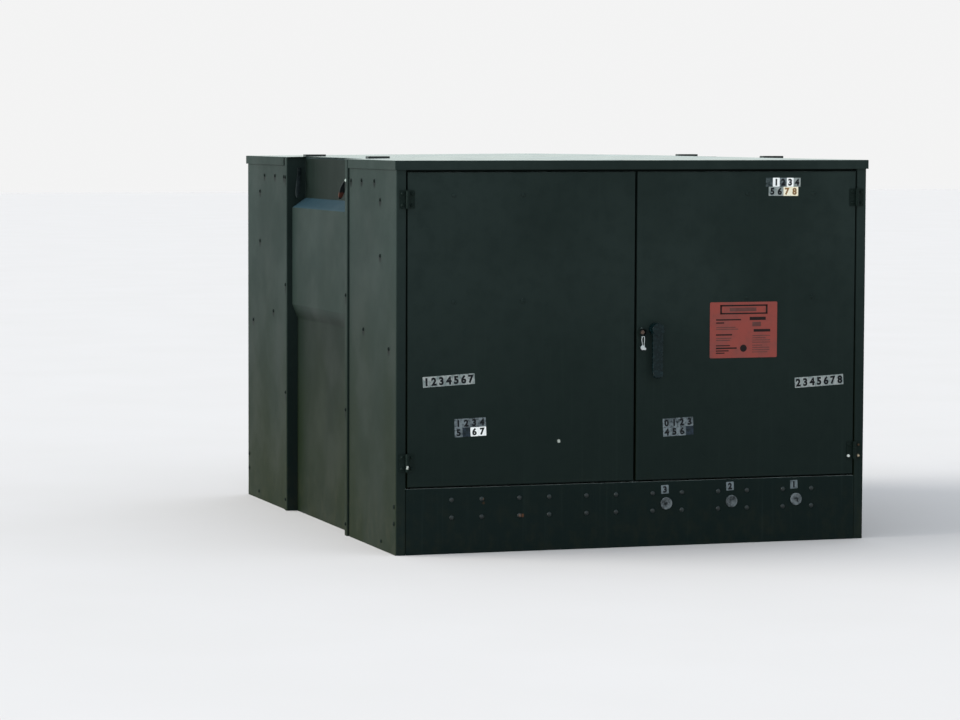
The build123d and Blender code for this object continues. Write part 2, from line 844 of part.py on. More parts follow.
# Screws in the sides
left_side = Plane(origin=(-half_width, 0, 0), x_dir=(0, -1, 0), z_dir=(-1, 0, 0))
strip_face = Plane(origin=(-strip_x, 0, 0), x_dir=(0, -1, 0), z_dir=(-1, 0, 0))
strip_middle = bay_half + strip_width / 2
with BuildPart() as left_screws:
    for end in (-1, 1):
        spots = [(end * (half_depth - d), z) for d, z in panel_screws]
        add(bolt_head(left_side, spots, screw_radius, screw_height))
        spots = [(end * strip_middle, z) for z in strip_screw_z]
        add(bolt_head(strip_face, spots, screw_radius, screw_height))
        spots = [(end * (half_depth - seam_bolt_inset), z) for z in seam_bolt_z]
        add(bolt_head(left_side, spots, seam_bolt_radius, screw_height))
right_screws = mirror(left_screws.part, about=Plane.YZ)
save("side_screws", Compound(children=left_screws.part.solids() + right_screws.solids()))

# Lifting lugs on the roof, cut to its slope
with BuildPart() as roof_lugs:
    with BuildSketch(Plane.XY.offset(roof_edge_z)):
        with GridLocations(2 * (half_width - lug_from_side), 2 * (bay_half + lug_past_bay), 2, 2):
            Rectangle(lug_length, lug_width)
    extrude(amount=lug_height)
    add(roof.part, mode=Mode.SUBTRACT)
save("roof_lugs", Compound(children=roof_lugs.part.solids().sort_by(Axis.Z)[-4:]))

# Hooks in the bays: a pointed blade bent out from a pad on the end wall
hook_x = half_width - hook_from_side
with BuildPart() as hook:
    wall_y = -bay_half
    with BuildSketch(Plane.YZ.offset(-hook_x - hook_width / 2)):
        with BuildLine():
            FilletPolyline(
                (wall_y, hook_top_z + hook_pad),
                (wall_y, hook_top_z),
                (wall_y + hook_bend_reach, (hook_top_z + hook_low_z) / 2),
                (wall_y + hook_reach, hook_low_z),
                radius=hook_pad,
            )
            offset(amount=hook_thickness, side=Side.LEFT)
        make_face()
    extrude(amount=hook_width)
    with BuildSketch(Plane.XZ.offset(-wall_y)):
        with BuildLine():
            Spline(
                (-hook_x - hook_width / 5, hook_low_z - hook_thickness),
                (-hook_x - hook_width / 2, (hook_top_z + hook_low_z) / 2),
                (-hook_x - hook_width / 3, hook_top_z + hook_pad),
            )
            Line(
                (-hook_x - hook_width / 3, hook_top_z + hook_pad),
                (-hook_x + hook_width / 3, hook_top_z + hook_pad),
            )
            Spline(
                (-hook_x + hook_width / 3, hook_top_z + hook_pad),
                (-hook_x + hook_width / 2, (hook_top_z + hook_low_z) / 2),
                (-hook_x + hook_width / 5, hook_low_z - hook_thickness),
            )
            Line(
                (-hook_x + hook_width / 5, hook_low_z - hook_thickness),
                (-hook_x - hook_width / 5, hook_low_z - hook_thickness),
            )
        make_face()
    extrude(amount=-(hook_reach + hook_pad), mode=Mode.INTERSECT)
hook_front_left = hook.part
hook_front_right = mirror(hook_front_left, about=Plane.YZ)
front_hooks = [hook_front_left, hook_front_right]
save("bay_hooks", Compound(children=front_hooks + [turned(h) for h in front_hooks]))

# Insulating barriers: one across the middle, one down the front and one down the rear
barrier_half = barrier_thickness / 2
barrier_reach = -(frame_y + sheet) - seat
barrier_bottom_z = base_panel_height + barrier_floor_gap
barrier_top_z = wall_top_z - barrier_roof_gap
barrier_height = barrier_top_z - barrier_bottom_z
bus_z = upper_rail_z + contact_height / 2
with BuildPart() as cross_barrier:
    with BuildSketch(Plane.XZ.offset(-barrier_half)):
        with Locations((0, (barrier_top_z + barrier_bottom_z) / 2)):
            Rectangle(2 * (bay_x - sheet), barrier_height)
        with Locations(*[(p, bus_z + bus_thickness / 2) for p in poles_all]):
            Rectangle(bus_width + 4 * bus_thickness, 4 * bus_thickness, mode=Mode.SUBTRACT)
    extrude(amount=barrier_thickness)
with BuildPart() as front_barrier:
    with BuildSketch(Plane.YZ.offset(-barrier_half)):
        with Locations((-(barrier_reach + barrier_half) / 2, (barrier_top_z + barrier_bottom_z) / 2)):
            Rectangle(barrier_reach - barrier_half, barrier_height)
    extrude(amount=barrier_thickness)
barriers = [cross_barrier.part, front_barrier.part, turned(front_barrier.part)]
save("insulating_barriers", Compound(children=barriers))


# Rails on the cross barrier that carry the insulators
def rail(middle_z):
    """Channel along the right half of the front of the cross barrier."""
    length = bay_x - sheet - seat - rail_gap
    wall_y = -barrier_half
    with BuildPart() as channel:
        with BuildSketch(Plane.YZ.offset(rail_gap)):
            with BuildLine():
                FilletPolyline(
                    (wall_y, middle_z + rail_height / 2),
                    (wall_y - rail_depth, middle_z + rail_height / 2),
                    (wall_y - rail_depth, middle_z - rail_height / 2),
                    (wall_y, middle_z - rail_height / 2),
                    radius=bend,
                )
                offset(amount=sheet, side=Side.LEFT)
            make_face()
        extrude(amount=length)
    return channel.part


front_rails = [rail(upper_rail_z), rail(jaw_rail_z)]
rear_rails = [turned(rail(upper_rail_z)), turned(rail(fuse_rail_z))]
right_rails = front_rails + rear_rails
save("mounting_rails", Compound(children=right_rails + [mirror(r, about=Plane.YZ) for r in right_rails]))


# Post insulators with sheds
def insulator(x, z):
    """Insulator standing out forwards from a rail."""
    foot_y = -(barrier_half + rail_depth)
    pitch = insulator_length / (insulator_sheds + 1)
    foot = pitch / 4
    outline = [(0, 0), (insulator_shed, 0), (insulator_shed, foot)]
    for i in range(insulator_sheds):
        low = pitch * (i + 1) - foot
        outline += [(insulator_core, low)]
        outline += [(insulator_shed, low + pitch / 6)]
        outline += [(insulator_core, low + pitch / 2)]
    outline += [(insulator_core, insulator_length), (0, insulator_length)]
    spot = Plane(origin=(x, foot_y, z), x_dir=(1, 0, 0), z_dir=(0, 0, 1))
    with BuildPart() as post:
        with BuildSketch(spot):
            with BuildLine():
                Polyline(*[(r, -h) for r, h in outline], close=True)
            make_face()
        revolve(axis=Axis((x, 0, z), (0, 1, 0)))
    return post.part


front_posts = [insulator(p, z) for p in poles_all for z in (upper_rail_z, jaw_rail_z)]
rear_posts = [turned(insulator(p, z)) for p in poles_all for z in (upper_rail_z, fuse_rail_z)]
save("insulators", Compound(children=front_posts + rear_posts))


# Contacts of the switches: a bearing block above and a jaw below on each pole
def contact_block(x, z, gap):
    """Forked block on an insulator's front end, open towards the front."""
    with BuildPart() as block:
        with BuildSketch(Plane.XZ.offset(contact_y)):
            with Locations((x, z)):
                Rectangle(contact_width, contact_height)
        extrude(amount=contact_depth)
        with BuildSketch(Plane.XZ.offset(contact_y + contact_wall)):
            with Locations((x, z)):
                Rectangle(gap, contact_height)
        extrude(amount=contact_depth, mode=Mode.SUBTRACT)
    return block.part


pivot_y = -(contact_y + contact_depth - shaft_inset)


def bearing_block(x):
    """Upper contact with a bore for the shaft."""
    with BuildPart() as block:
        add(contact_block(x, upper_rail_z, jaw_gap))
        with BuildSketch(Plane.YZ.offset(x - contact_width)):
            with Locations((pivot_y, upper_rail_z)):
                Circle(shaft_radius + running_clearance)
        extrude(amount=2 * contact_width, mode=Mode.SUBTRACT)
    return block.part


switch_blocks = [bearing_block(p) for p in poles_all]
switch_blocks += [contact_block(p, jaw_rail_z, jaw_gap) for p in poles_all]
save("switch_contacts", Compound(children=switch_blocks))

# Switch blades: three on one insulated shaft, hung from the bearing blocks
blade_low_z = jaw_rail_z - contact_height / 4
with BuildPart() as blades:
    for pole in poles:
        with BuildSketch(Plane.YZ.offset(pole - blade_thickness / 2)):
            with Locations((pivot_y, (upper_rail_z + blade_low_z) / 2)):
                Rectangle(blade_width, upper_rail_z - blade_low_z)
            with Locations((pivot_y, upper_rail_z)):
                Circle(blade_width / 2)
        extrude(amount=blade_thickness)
    with BuildSketch(Plane.YZ.offset(poles[0] - contact_width / 2 - shaft_end)):
        with Locations((pivot_y, upper_rail_z)):
            Circle(shaft_radius)
    extrude(amount=poles[2] - poles[0] + contact_width + 2 * shaft_end)
save("right_switch_blades", blades.part)
save("left_switch_blades", mirror(blades.part, about=Plane.YZ))

# Contacts of the fuses: a latch block above and a forked hinge block below on each pole
fuse_gap = 2 * (fuse_radius + fuse_side_gap)


def fuse_hinge_block(x):
    """Fork with bores for the trunnions of a fuse."""
    with BuildPart() as block:
        add(contact_block(x, fuse_rail_z, fuse_gap))
        with BuildSketch(Plane.YZ.offset(x - contact_width)):
            with Locations((pivot_y, fuse_rail_z)):
                Circle(trunnion_radius + running_clearance)
        extrude(amount=2 * contact_width, mode=Mode.SUBTRACT)
    return block.part


fuse_blocks = [turned(fuse_hinge_block(p)) for p in poles_all]
fuse_blocks += [turned(contact_block(p, upper_rail_z, fuse_gap)) for p in poles_all]
save("fuse_contacts", Compound(children=fuse_blocks))


# Fuse units: tube, end fittings, trunnions and a pull ring
def fuse_unit(x):
    """One fuse standing on its trunnions, on the rear side."""
    top_z = upper_rail_z + contact_height / 4
    low_ferrule_z = fuse_rail_z + contact_height / 2 + fuse_ferrule_gap
    high_ferrule_z = upper_rail_z - contact_height / 2 - fuse_ferrule_gap - fuse_ferrule_length
    with BuildPart() as unit:
        with BuildSketch(Plane.XY.offset(fuse_rail_z - fuse_radius)):
            with Locations((x, -pivot_y)):
                Circle(fuse_radius)
        extrude(amount=top_z - fuse_rail_z + fuse_radius)
        for z in (low_ferrule_z, high_ferrule_z):
            with BuildSketch(Plane.XY.offset(z)):
                with Locations((x, -pivot_y)):
                    Circle(fuse_ferrule_radius)
            extrude(amount=fuse_ferrule_length)
        with BuildSketch(Plane.YZ.offset(x - contact_width / 2)):
            with Locations((-pivot_y, fuse_rail_z)):
                Circle(trunnion_radius)
        extrude(amount=contact_width)
        ring_y = -pivot_y + fuse_ferrule_radius + fuse_ring_stem + fuse_ring_radius
        ring_z = high_ferrule_z + fuse_ferrule_length / 2
        with BuildSketch(Plane.YZ.offset(x - fuse_ring_wall / 2)):
            with Locations((-pivot_y + fuse_ferrule_radius, ring_z)):
                Rectangle(2 * fuse_ring_wall, fuse_ring_wall)
            with Locations((ring_y, ring_z)):
                Circle(fuse_ring_radius)
                Circle(fuse_ring_radius - fuse_ring_wall, mode=Mode.SUBTRACT)
        extrude(amount=fuse_ring_wall)
    return unit.part


for number, pole in enumerate(poles_all, start=1):
    save(f"fuse_{number}", fuse_unit(pole))

# Bus bars from the switches' bearing blocks through the cross barrier to the fuses
with BuildPart() as bus_bars:
    with BuildSketch(Plane.XY.offset(bus_z)):
        with Locations(*[(p, 0) for p in poles_all]):
            Rectangle(bus_width, 2 * (contact_y + contact_wall))
    extrude(amount=bus_thickness)
save("bus_bars", bus_bars.part)

# Ground bus on feet along the front rail of the base frame
ground_y = front_y + jamb_depth
with BuildPart() as ground_bus:
    with BuildSketch(Plane.XY.offset(ground_bar_z)):
        with Locations((0, ground_y)):
            Rectangle(ground_bar_length, bus_thickness)
    extrude(amount=ground_bar_height)
    with BuildSketch(Plane.XY.offset(base_leg_thickness)):
        with Locations((0, ground_y)):
            with GridLocations(ground_bar_length / 3, 0, 4, 1):
                Rectangle(ground_bar_height, bus_thickness)
    extrude(amount=ground_bar_z - base_leg_thickness)
save("ground_bus", ground_bus.part)
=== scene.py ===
import json
import math

import bpy
from mathutils import Matrix, Vector


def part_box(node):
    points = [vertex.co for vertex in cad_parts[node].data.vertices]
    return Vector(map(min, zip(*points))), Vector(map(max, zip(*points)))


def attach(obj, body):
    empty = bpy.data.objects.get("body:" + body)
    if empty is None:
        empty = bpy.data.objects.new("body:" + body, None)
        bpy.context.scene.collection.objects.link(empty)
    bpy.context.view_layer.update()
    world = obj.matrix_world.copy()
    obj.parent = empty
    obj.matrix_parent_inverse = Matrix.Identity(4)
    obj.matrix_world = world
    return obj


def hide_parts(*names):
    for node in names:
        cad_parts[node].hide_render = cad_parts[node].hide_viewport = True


bl_info = {
    "name": "Roadside utility cabinet",
    "version": (1, 0, 0),
    "blender": (4, 5, 0),
    "location": "View3D > Sidebar > Cabinet",
    "description": "Finishes, number tiles, plate, fasteners and studio for the utility cabinet",
    "category": "Object",
}

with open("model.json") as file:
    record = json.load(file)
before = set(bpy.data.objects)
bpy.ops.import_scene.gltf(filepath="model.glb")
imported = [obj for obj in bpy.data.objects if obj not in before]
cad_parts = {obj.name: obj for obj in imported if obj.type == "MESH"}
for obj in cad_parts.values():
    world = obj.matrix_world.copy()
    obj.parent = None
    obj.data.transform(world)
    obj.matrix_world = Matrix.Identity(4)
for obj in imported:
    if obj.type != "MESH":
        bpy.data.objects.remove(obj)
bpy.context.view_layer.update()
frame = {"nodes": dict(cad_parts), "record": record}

# Faces of the housing that the added pieces and the marks of use are set out from
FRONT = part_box("front_base_panel")[0].y
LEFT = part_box("side_panel_front_left")[0].x

# A quarter turn about X brings a form that stands on the floor to face the front
TO_FRONT = Matrix.Rotation(math.radians(90), 4, "X")


# Sizes and colours

def as_seen(code):
    """Red, green and blue from 0 to 1 of an sRGB hex colour, still as the eye sees it."""
    return tuple(int(code[i:i + 2], 16) / 255 for i in (1, 3, 5))


class CabinetColours(bpy.types.PropertyGroup):
    """Paint and vinyl colours, as seen in daylight."""

    paint: bpy.props.FloatVectorProperty(
        name="Paint", description="Dark green enamel of the housing", subtype="COLOR_GAMMA",
        size=3, default=as_seen("#192321"))
    paint_faded: bpy.props.FloatVectorProperty(
        name="Faded paint", description="The same enamel where sun and rain have chalked it",
        subtype="COLOR_GAMMA", size=3, default=as_seen("#27312F"))
    # Partly unfaded enamel, partly painted shade of the deep bays.
    deep_bay_paint_and_shade: bpy.props.FloatVectorProperty(
        name="Fresh paint", description="The same enamel deep in the bays, where it hasn't faded",
        subtype="COLOR_GAMMA", size=3, default=as_seen("#121A18"))
    # The base panels' darker enamel is partly painted shade of the low front.
    base_paint: bpy.props.FloatVectorProperty(
        name="Base paint", description="Enamel of the two base panels, which are a little darker",
        subtype="COLOR_GAMMA", size=3, default=as_seen("#131E1D"))
    base_paint_faded: bpy.props.FloatVectorProperty(
        name="Faded base paint", description="Enamel of the base panels where it has chalked",
        subtype="COLOR_GAMMA", size=3, default=as_seen("#1B2523"))
    plate: bpy.props.FloatVectorProperty(
        name="Plate", description="Coral vinyl of the blank notice plate", subtype="COLOR_GAMMA",
        size=3, default=as_seen("#90443D"))
    tile: bpy.props.FloatVectorProperty(
        name="Tile", description="Aged reflective vinyl of the number tiles", subtype="COLOR_GAMMA",
        size=3, default=as_seen("#A3A7A6"))


class CabinetSizes(bpy.types.PropertyGroup):
    """Sizes of the pieces that are added to the housing."""

    tile_width: bpy.props.FloatProperty(
        name="Tile width", description="Width of one tile of the long rows", default=0.0262,
        unit="LENGTH", subtype="DISTANCE")
    tile_height: bpy.props.FloatProperty(
        name="Tile height", description="Height of one tile of the long rows", default=0.036,
        unit="LENGTH", subtype="DISTANCE")
    block_tile_width: bpy.props.FloatProperty(
        name="Block tile width", description="Width of one tile of the low blocks", default=0.0280,
        unit="LENGTH", subtype="DISTANCE")
    block_tile_height: bpy.props.FloatProperty(
        name="Block tile height", description="Height of one tile of the low blocks", default=0.0310,
        unit="LENGTH", subtype="DISTANCE")
    tile_thickness: bpy.props.FloatProperty(
        name="Tile thickness", description="Thickness of the tiles' vinyl", default=0.0006,
        unit="LENGTH", subtype="DISTANCE")
    plate_width: bpy.props.FloatProperty(
        name="Plate width", description="Width of the notice plate", default=0.2495,
        unit="LENGTH", subtype="DISTANCE")
    plate_height: bpy.props.FloatProperty(
        name="Plate height", description="Height of the notice plate", default=0.1920,
        unit="LENGTH", subtype="DISTANCE")
    plate_thickness: bpy.props.FloatProperty(
        name="Plate thickness", description="Thickness of the notice plate", default=0.0008,
        unit="LENGTH", subtype="DISTANCE")
    print_thickness: bpy.props.FloatProperty(
        name="Print thickness", description="How far print stands out from its vinyl", default=0.0001,
        unit="LENGTH", subtype="DISTANCE")
    wire_radius: bpy.props.FloatProperty(
        name="Seal wire radius", description="Radius of the twisted seal wire", default=0.0013,
        unit="LENGTH", subtype="DISTANCE")
    large_bead: bpy.props.FloatProperty(
        name="Large bead radius", description="Radius of the seal's large bead", default=0.0083,
        unit="LENGTH", subtype="DISTANCE")
    small_bead: bpy.props.FloatProperty(
        name="Small bead radius", description="Radius of the seal's small bead", default=0.0050,
        unit="LENGTH", subtype="DISTANCE")
    hook_rounding: bpy.props.FloatProperty(
        name="Hook rounding", description="Rounding of the edges of the bay hooks", default=0.0012,
        unit="LENGTH", subtype="DISTANCE")


class StudioSettings(bpy.types.PropertyGroup):
    """Camera and light."""

    focal_length: bpy.props.FloatProperty(
        name="Focal length", description="Lens in millimetres on a 36 mm sensor", default=123.457)
    yaw: bpy.props.FloatProperty(
        name="Camera yaw", description="Turn of the view to the right of straight ahead",
        default=math.radians(17.006), unit="ROTATION", subtype="ANGLE")
    pitch: bpy.props.FloatProperty(
        name="Camera pitch", description="Tilt of the view below level",
        default=math.radians(4.021), unit="ROTATION", subtype="ANGLE")
    roll: bpy.props.FloatProperty(
        name="Camera roll", description="Turn of the picture about its middle",
        default=math.radians(0.0933), unit="ROTATION", subtype="ANGLE")
    place: bpy.props.FloatVectorProperty(
        name="Camera place", description="Place of the lens", size=3,
        default=(-4.0883, -11.4236, 1.4255), unit="LENGTH", subtype="TRANSLATION")
    shift: bpy.props.FloatProperty(
        name="Lens shift", description="Sideways shift of the picture", default=0.09917)
    soft_light: bpy.props.FloatProperty(
        name="Soft light", description="Level of the soft light from all round", default=0.80)
    soft_low: bpy.props.FloatVectorProperty(
        name="Soft light low", description="Linear colour of the soft light near the horizon",
        subtype="COLOR", size=3, default=(0.86, 0.94, 0.88))
    soft_high: bpy.props.FloatVectorProperty(
        name="Soft light high", description="Linear colour of the soft light from overhead, as a level",
        subtype="COLOR", size=3, default=(1.06, 1.24, 1.36))
    backdrop: bpy.props.FloatVectorProperty(
        name="Backdrop", description="Linear grey that the camera sees behind the floor",
        subtype="COLOR", size=3, default=(0.90, 0.90, 0.90))
    key_light: bpy.props.FloatProperty(
        name="Key light", description="Strength of the wide key light", default=5.0)
    key_angle: bpy.props.FloatProperty(
        name="Key angle", description="Apparent width of the key light",
        default=math.radians(50), unit="ROTATION", subtype="ANGLE")
    key_colour: bpy.props.FloatVectorProperty(
        name="Key colour", description="Linear colour of the key light", subtype="COLOR", size=3,
        default=(0.95, 1.0, 0.95))
    key_way: bpy.props.FloatVectorProperty(
        name="Key way", description="Direction towards the key light", size=3,
        default=(-0.92, 0.22, 0.24), subtype="DIRECTION")
    floor: bpy.props.FloatVectorProperty(
        name="Floor", description="Pale floor", subtype="COLOR_GAMMA", size=3,
        default=as_seen("#DFD5D4"))


# Materials

# Specular level of old enamel: chalk and grime leave it much duller than the 0.5 of a clean coat
CHALKED = 0.045

# Index of refraction of enamel, resin and moulded plastic, and of soft vinyl
ENAMEL_IOR = 1.5
VINYL_IOR = 1.46


def linear(colour):
    """Linear red, green and blue of an sRGB colour, given as hex or as three numbers from 0 to 1."""
    if isinstance(colour, str):
        colour = as_seen(colour)
    return tuple(c / 12.92 if c <= 0.04045 else ((c + 0.055) / 1.055) ** 2.4 for c in colour[:3]) + (1.0,)


def add_node(tree, kind, sockets=None, **settings):
    """A new node with its settings, and each socket set to a value or joined to another socket."""
    node = tree.nodes.new(kind)
    for key, value in settings.items():
        setattr(node, key, value)
    for key, value in (sockets or {}).items():
        if isinstance(value, bpy.types.NodeSocket):
            tree.links.new(value, node.inputs[key])
        else:
            node.inputs[key].default_value = value
    return node


def blank_material(name):
    """An empty material, its node tree, its shader and the object's own coordinates."""
    material = bpy.data.materials.new(name)
    material.use_nodes = True
    tree = material.node_tree
    tree.nodes.clear()
    shader = add_node(tree, "ShaderNodeBsdfPrincipled")
    output = add_node(tree, "ShaderNodeOutputMaterial", {"Surface": shader.outputs[0]})
    output.is_active_output = True
    place = add_node(tree, "ShaderNodeTexCoord").outputs["Object"]
    return material, tree, shader, place


def pattern(tree, place, cell, stretch=(1, 1, 1), detail=3, roughness=0.5):
    """Noise with cells of about this size in metres, drawn out where a stretch is under 1."""
    if stretch != (1, 1, 1):
        place = add_node(tree, "ShaderNodeMapping", {"Vector": place, "Scale": stretch}).outputs[0]
    node = add_node(tree, "ShaderNodeTexNoise", {
        "Vector": place, "Scale": 1 / cell, "Detail": detail, "Roughness": roughness})
    return node.outputs["Fac"]


def strength(tree, *steps):
    """How strongly something shows: the product of its steps.

    A step is a socket, or a soft step of a value: (value, low, high, result at low, result at high).
    """
    product = None
    for step in steps:
        if isinstance(step, tuple):
            value, low, high, bottom, top = step
            step = add_node(tree, "ShaderNodeMapRange", {
                "Value": value, "From Min": low, "From Max": high, "To Min": bottom, "To Max": top},
                interpolation_type="SMOOTHSTEP").outputs[0]
        if product is not None:
            step = add_node(tree, "ShaderNodeMath", {0: product, 1: step}, operation="MULTIPLY").outputs[0]
        product = step
    return product


def layer(tree, below, colour, *steps):
    """A colour laid over what is below it, as strongly as its steps say."""
    below, colour = (c if isinstance(c, bpy.types.NodeSocket) else linear(c) for c in (below, colour))
    amount = strength(tree, *steps)
    return add_node(tree, "ShaderNodeMix", {0: amount, 6: below, 7: colour}, data_type="RGBA").outputs[2]


def spot(tree, place, centre, radius):
    """The step of a soft round mark about a point, with a ragged edge."""
    away = add_node(tree, "ShaderNodeVectorMath", {0: place, 1: centre}, operation="DISTANCE")
    rag = pattern(tree, place, radius * 0.5, detail=4)
    ragged = add_node(tree, "ShaderNodeMath", {0: rag, 1: radius * 0.9, 2: away.outputs["Value"]},
                      operation="MULTIPLY_ADD")
    return ragged.outputs[0], radius * 0.95, radius * 1.45, 1.0, 0.0


def marked(tree, place, paint, marks):
    """Paint with chips, rust or stains, from (centre, radius, colour) of each."""
    for centre, radius, colour in marks:
        paint = layer(tree, paint, colour, spot(tree, place, centre, radius))
    return paint


def run_and_shadow_mark(tree, place, top, width, length):
    """The step of a soft dark run below a screw, partly a stain and partly its painted shadow, alike at all
    four corners if place has no signs.
    """
    centre = (top[0], top[1], top[2] - length * 0.4)
    away = add_node(tree, "ShaderNodeVectorMath", {0: place, 1: centre}, operation="SUBTRACT")
    shrunk = add_node(tree, "ShaderNodeVectorMath", {0: away.outputs[0], 1: (1, 1, width / length)},
                      operation="MULTIPLY")
    reach = add_node(tree, "ShaderNodeVectorMath", {0: shrunk.outputs[0]}, operation="LENGTH")
    return reach.outputs["Value"], width * 0.45, width, 0.9, 0.0


def bump(tree, shader, layers):
    """Relief from a list of (height, depth in metres) added up."""
    normal = None
    for height, depth in layers:
        sockets = {"Height": height, "Distance": depth, "Strength": 1.0}
        if normal is not None:
            sockets["Normal"] = normal
        normal = add_node(tree, "ShaderNodeBump", sockets).outputs[0]
    tree.links.new(normal, shader.inputs["Normal"])


def weathered_enamel(name, colour, faded, marks=(), runs_and_shadows_below=(), low_film_and_grass_reflection=1.0, bay_depth_shade=None,
                     top_gloss=False):
    """Baked enamel on steel sheet: a dull satin skin, chalked by sun, streaked by rain, filmed with soil,
    with painted reflections of grass and sky, and where asked painted shade and shadows.
    """
    material, tree, shader, place = blank_material(name)
    position = add_node(tree, "ShaderNodeSeparateXYZ", {0: place}).outputs
    height = position["Z"]
    normal = add_node(tree, "ShaderNodeSeparateXYZ", {
        0: add_node(tree, "ShaderNodeNewGeometry").outputs["Normal"]}).outputs
    upwards = normal["Z"]
    sideways = add_node(tree, "ShaderNodeMath", {0: normal["X"]}, operation="ABSOLUTE").outputs[0]
    # The sun chalks the upper part more, in soft clouds.
    paint = layer(tree, colour, faded, (pattern(tree, place, 0.55, detail=4), 0.30, 0.70, 0.4, 1.0),
                  (height, 0.2, 1.2, 0.0, 1.0))
    if bay_depth_shade:
        # Paint deep in a bay is darkened: partly enamel that has faded less, partly painted shade of the
        # recess.
        unfaded_shaded_colour, inner, outer = bay_depth_shade
        depth = add_node(tree, "ShaderNodeMath", {0: position["X"]}, operation="ABSOLUTE").outputs[0]
        paint = layer(tree, unfaded_shaded_colour, paint, (depth, inner, outer, 0.0, 1.0))
    # Faint mottling of dirt, in cells of 45 mm.
    paint = layer(tree, paint, "#141E1D", (
        pattern(tree, place, 0.045, detail=5, roughness=0.6), 0.40, 0.72, 0.0, 0.25))
    # Rain runs straight down: cells 12 mm wide and about 0.5 m long.
    paint = layer(tree, paint, "#26312E", (
        pattern(tree, place, 0.012, stretch=(1, 1, 0.025), detail=3), 0.55, 0.80, 0.0, 0.22))
    # The long sides carry an olive film that thickens towards the ground: partly dust and algae, partly a
    # painted reflection of grass.
    paint = layer(
        tree, paint, "#161E0F", (sideways, 0.5, 0.9, 0.0, low_film_and_grass_reflection), (height, 0.05, 1.10, 1.0, 0.12),
        (pattern(tree, place, 0.20, stretch=(1, 1, 0.4), detail=5), 0.25, 0.75, 0.55, 1.0))
    # Soil and grass splashes reach some 0.25 m up.
    paint = layer(tree, paint, "#333224", (height, 0.02, 0.30, 1.0, 0.0), (
        pattern(tree, place, 0.030, stretch=(1, 1, 0.6), detail=6, roughness=0.65), 0.42, 0.72,
        0.0, 0.30 * low_film_and_grass_reflection))
    if bay_depth_shade:
        # A bluish tint on what slopes up in the bays, such as the hoods, is a painted reflection of the sky.
        paint = layer(tree, paint, "#2C424E", (upwards, 0.55, 0.80, 0.0, 0.55))
    # Pale dust on what faces up: partly dust, partly a painted reflection of the sky's glare on the roof.
    paint = layer(tree, paint, "#BCC3C0", (upwards, 0.90, 0.99, 0.0, 1.0), (
        pattern(tree, place, 0.12, detail=6, roughness=0.6), 0.25, 0.75, 0.50, 0.90))
    # Below the screws: short dark runs, partly stains of dirty water and partly painted shadows of the
    # heads.
    if runs_and_shadows_below:
        unsigned = add_node(tree, "ShaderNodeVectorMath", {0: place}, operation="ABSOLUTE").outputs[0]
        for top, width, length in runs_and_shadows_below:
            paint = layer(tree, paint, "#0A100F", run_and_shadow_mark(tree, unsigned, top, width, length))
    paint = marked(tree, place, paint, marks)
    tree.links.new(paint, shader.inputs["Base Color"])
    roughness = strength(tree, (pattern(tree, place, 0.20, detail=3), 0.3, 0.7, 0.44, 0.56))
    shader.inputs["IOR"].default_value = ENAMEL_IOR
    shader.inputs["Specular IOR Level"].default_value = CHALKED
    if top_gloss:
        # The level sheet of the roof is washed by rain and glares at low angles, while its lips are dull.
        washed = strength(tree, (upwards, 0.90, 0.99, CHALKED, 1.0))
        tree.links.new(washed, shader.inputs["Specular IOR Level"])
        smoother = strength(tree, (upwards, 0.90, 0.99, 0.0, 0.30))
        roughness = add_node(tree, "ShaderNodeMath", {0: roughness, 1: smoother},
                             operation="SUBTRACT").outputs[0]
    tree.links.new(roughness, shader.inputs["Roughness"])
    # Orange peel of sprayed enamel, 2 mm cells, over the slow waves of folded sheet, 0.4 m long.
    bump(tree, shader, [(pattern(tree, place, 0.40, detail=1), 0.0030),
                        (pattern(tree, place, 0.002, detail=2), 0.00004)])
    return material


def plain_enamel(name, colour, worn, roughness, marks=(), sheen=0.09):
    """Thick dip enamel on forgings: a deep even tone, rubbed in flecks where hands and tools reach."""
    material, tree, shader, place = blank_material(name)
    rubbed = strength(tree, (pattern(tree, place, 0.010, detail=5, roughness=0.6), 0.45, 0.75, 0.0, 1.0))
    paint = marked(tree, place, layer(tree, colour, worn, rubbed), marks)
    tree.links.new(paint, shader.inputs["Base Color"])
    tree.links.new(strength(tree, (rubbed, 0, 1, roughness, roughness + 0.12)), shader.inputs["Roughness"])
    shader.inputs["IOR"].default_value = ENAMEL_IOR
    shader.inputs["Specular IOR Level"].default_value = sheen
    # Small sags and pits of a thick coat, 1.5 mm cells.
    bump(tree, shader, [(pattern(tree, place, 0.0015, detail=3), 0.00005)])
    return material


def metal(name, colour, stain, roughness, cell, stretch=(1, 1, 1)):
    """Bare or plated metal: a bright grain of this cell size under dull stains a dozen cells wide."""
    material, tree, shader, place = blank_material(name)
    grain = pattern(tree, place, cell, stretch=stretch, detail=4)
    surface = layer(tree, colour, stain, (grain, 0.35, 0.65, 0.0, 0.35))
    surface = layer(tree, surface, stain, (
        pattern(tree, place, cell * 12, detail=5, roughness=0.6), 0.45, 0.72, 0.0, 0.6))
    tree.links.new(surface, shader.inputs["Base Color"])
    shader.inputs["Metallic"].default_value = 1.0
    tree.links.new(strength(tree, (grain, 0.3, 0.7, roughness - 0.06, roughness + 0.08)),
                   shader.inputs["Roughness"])
    bump(tree, shader, [(grain, cell * 0.02)])
    return material


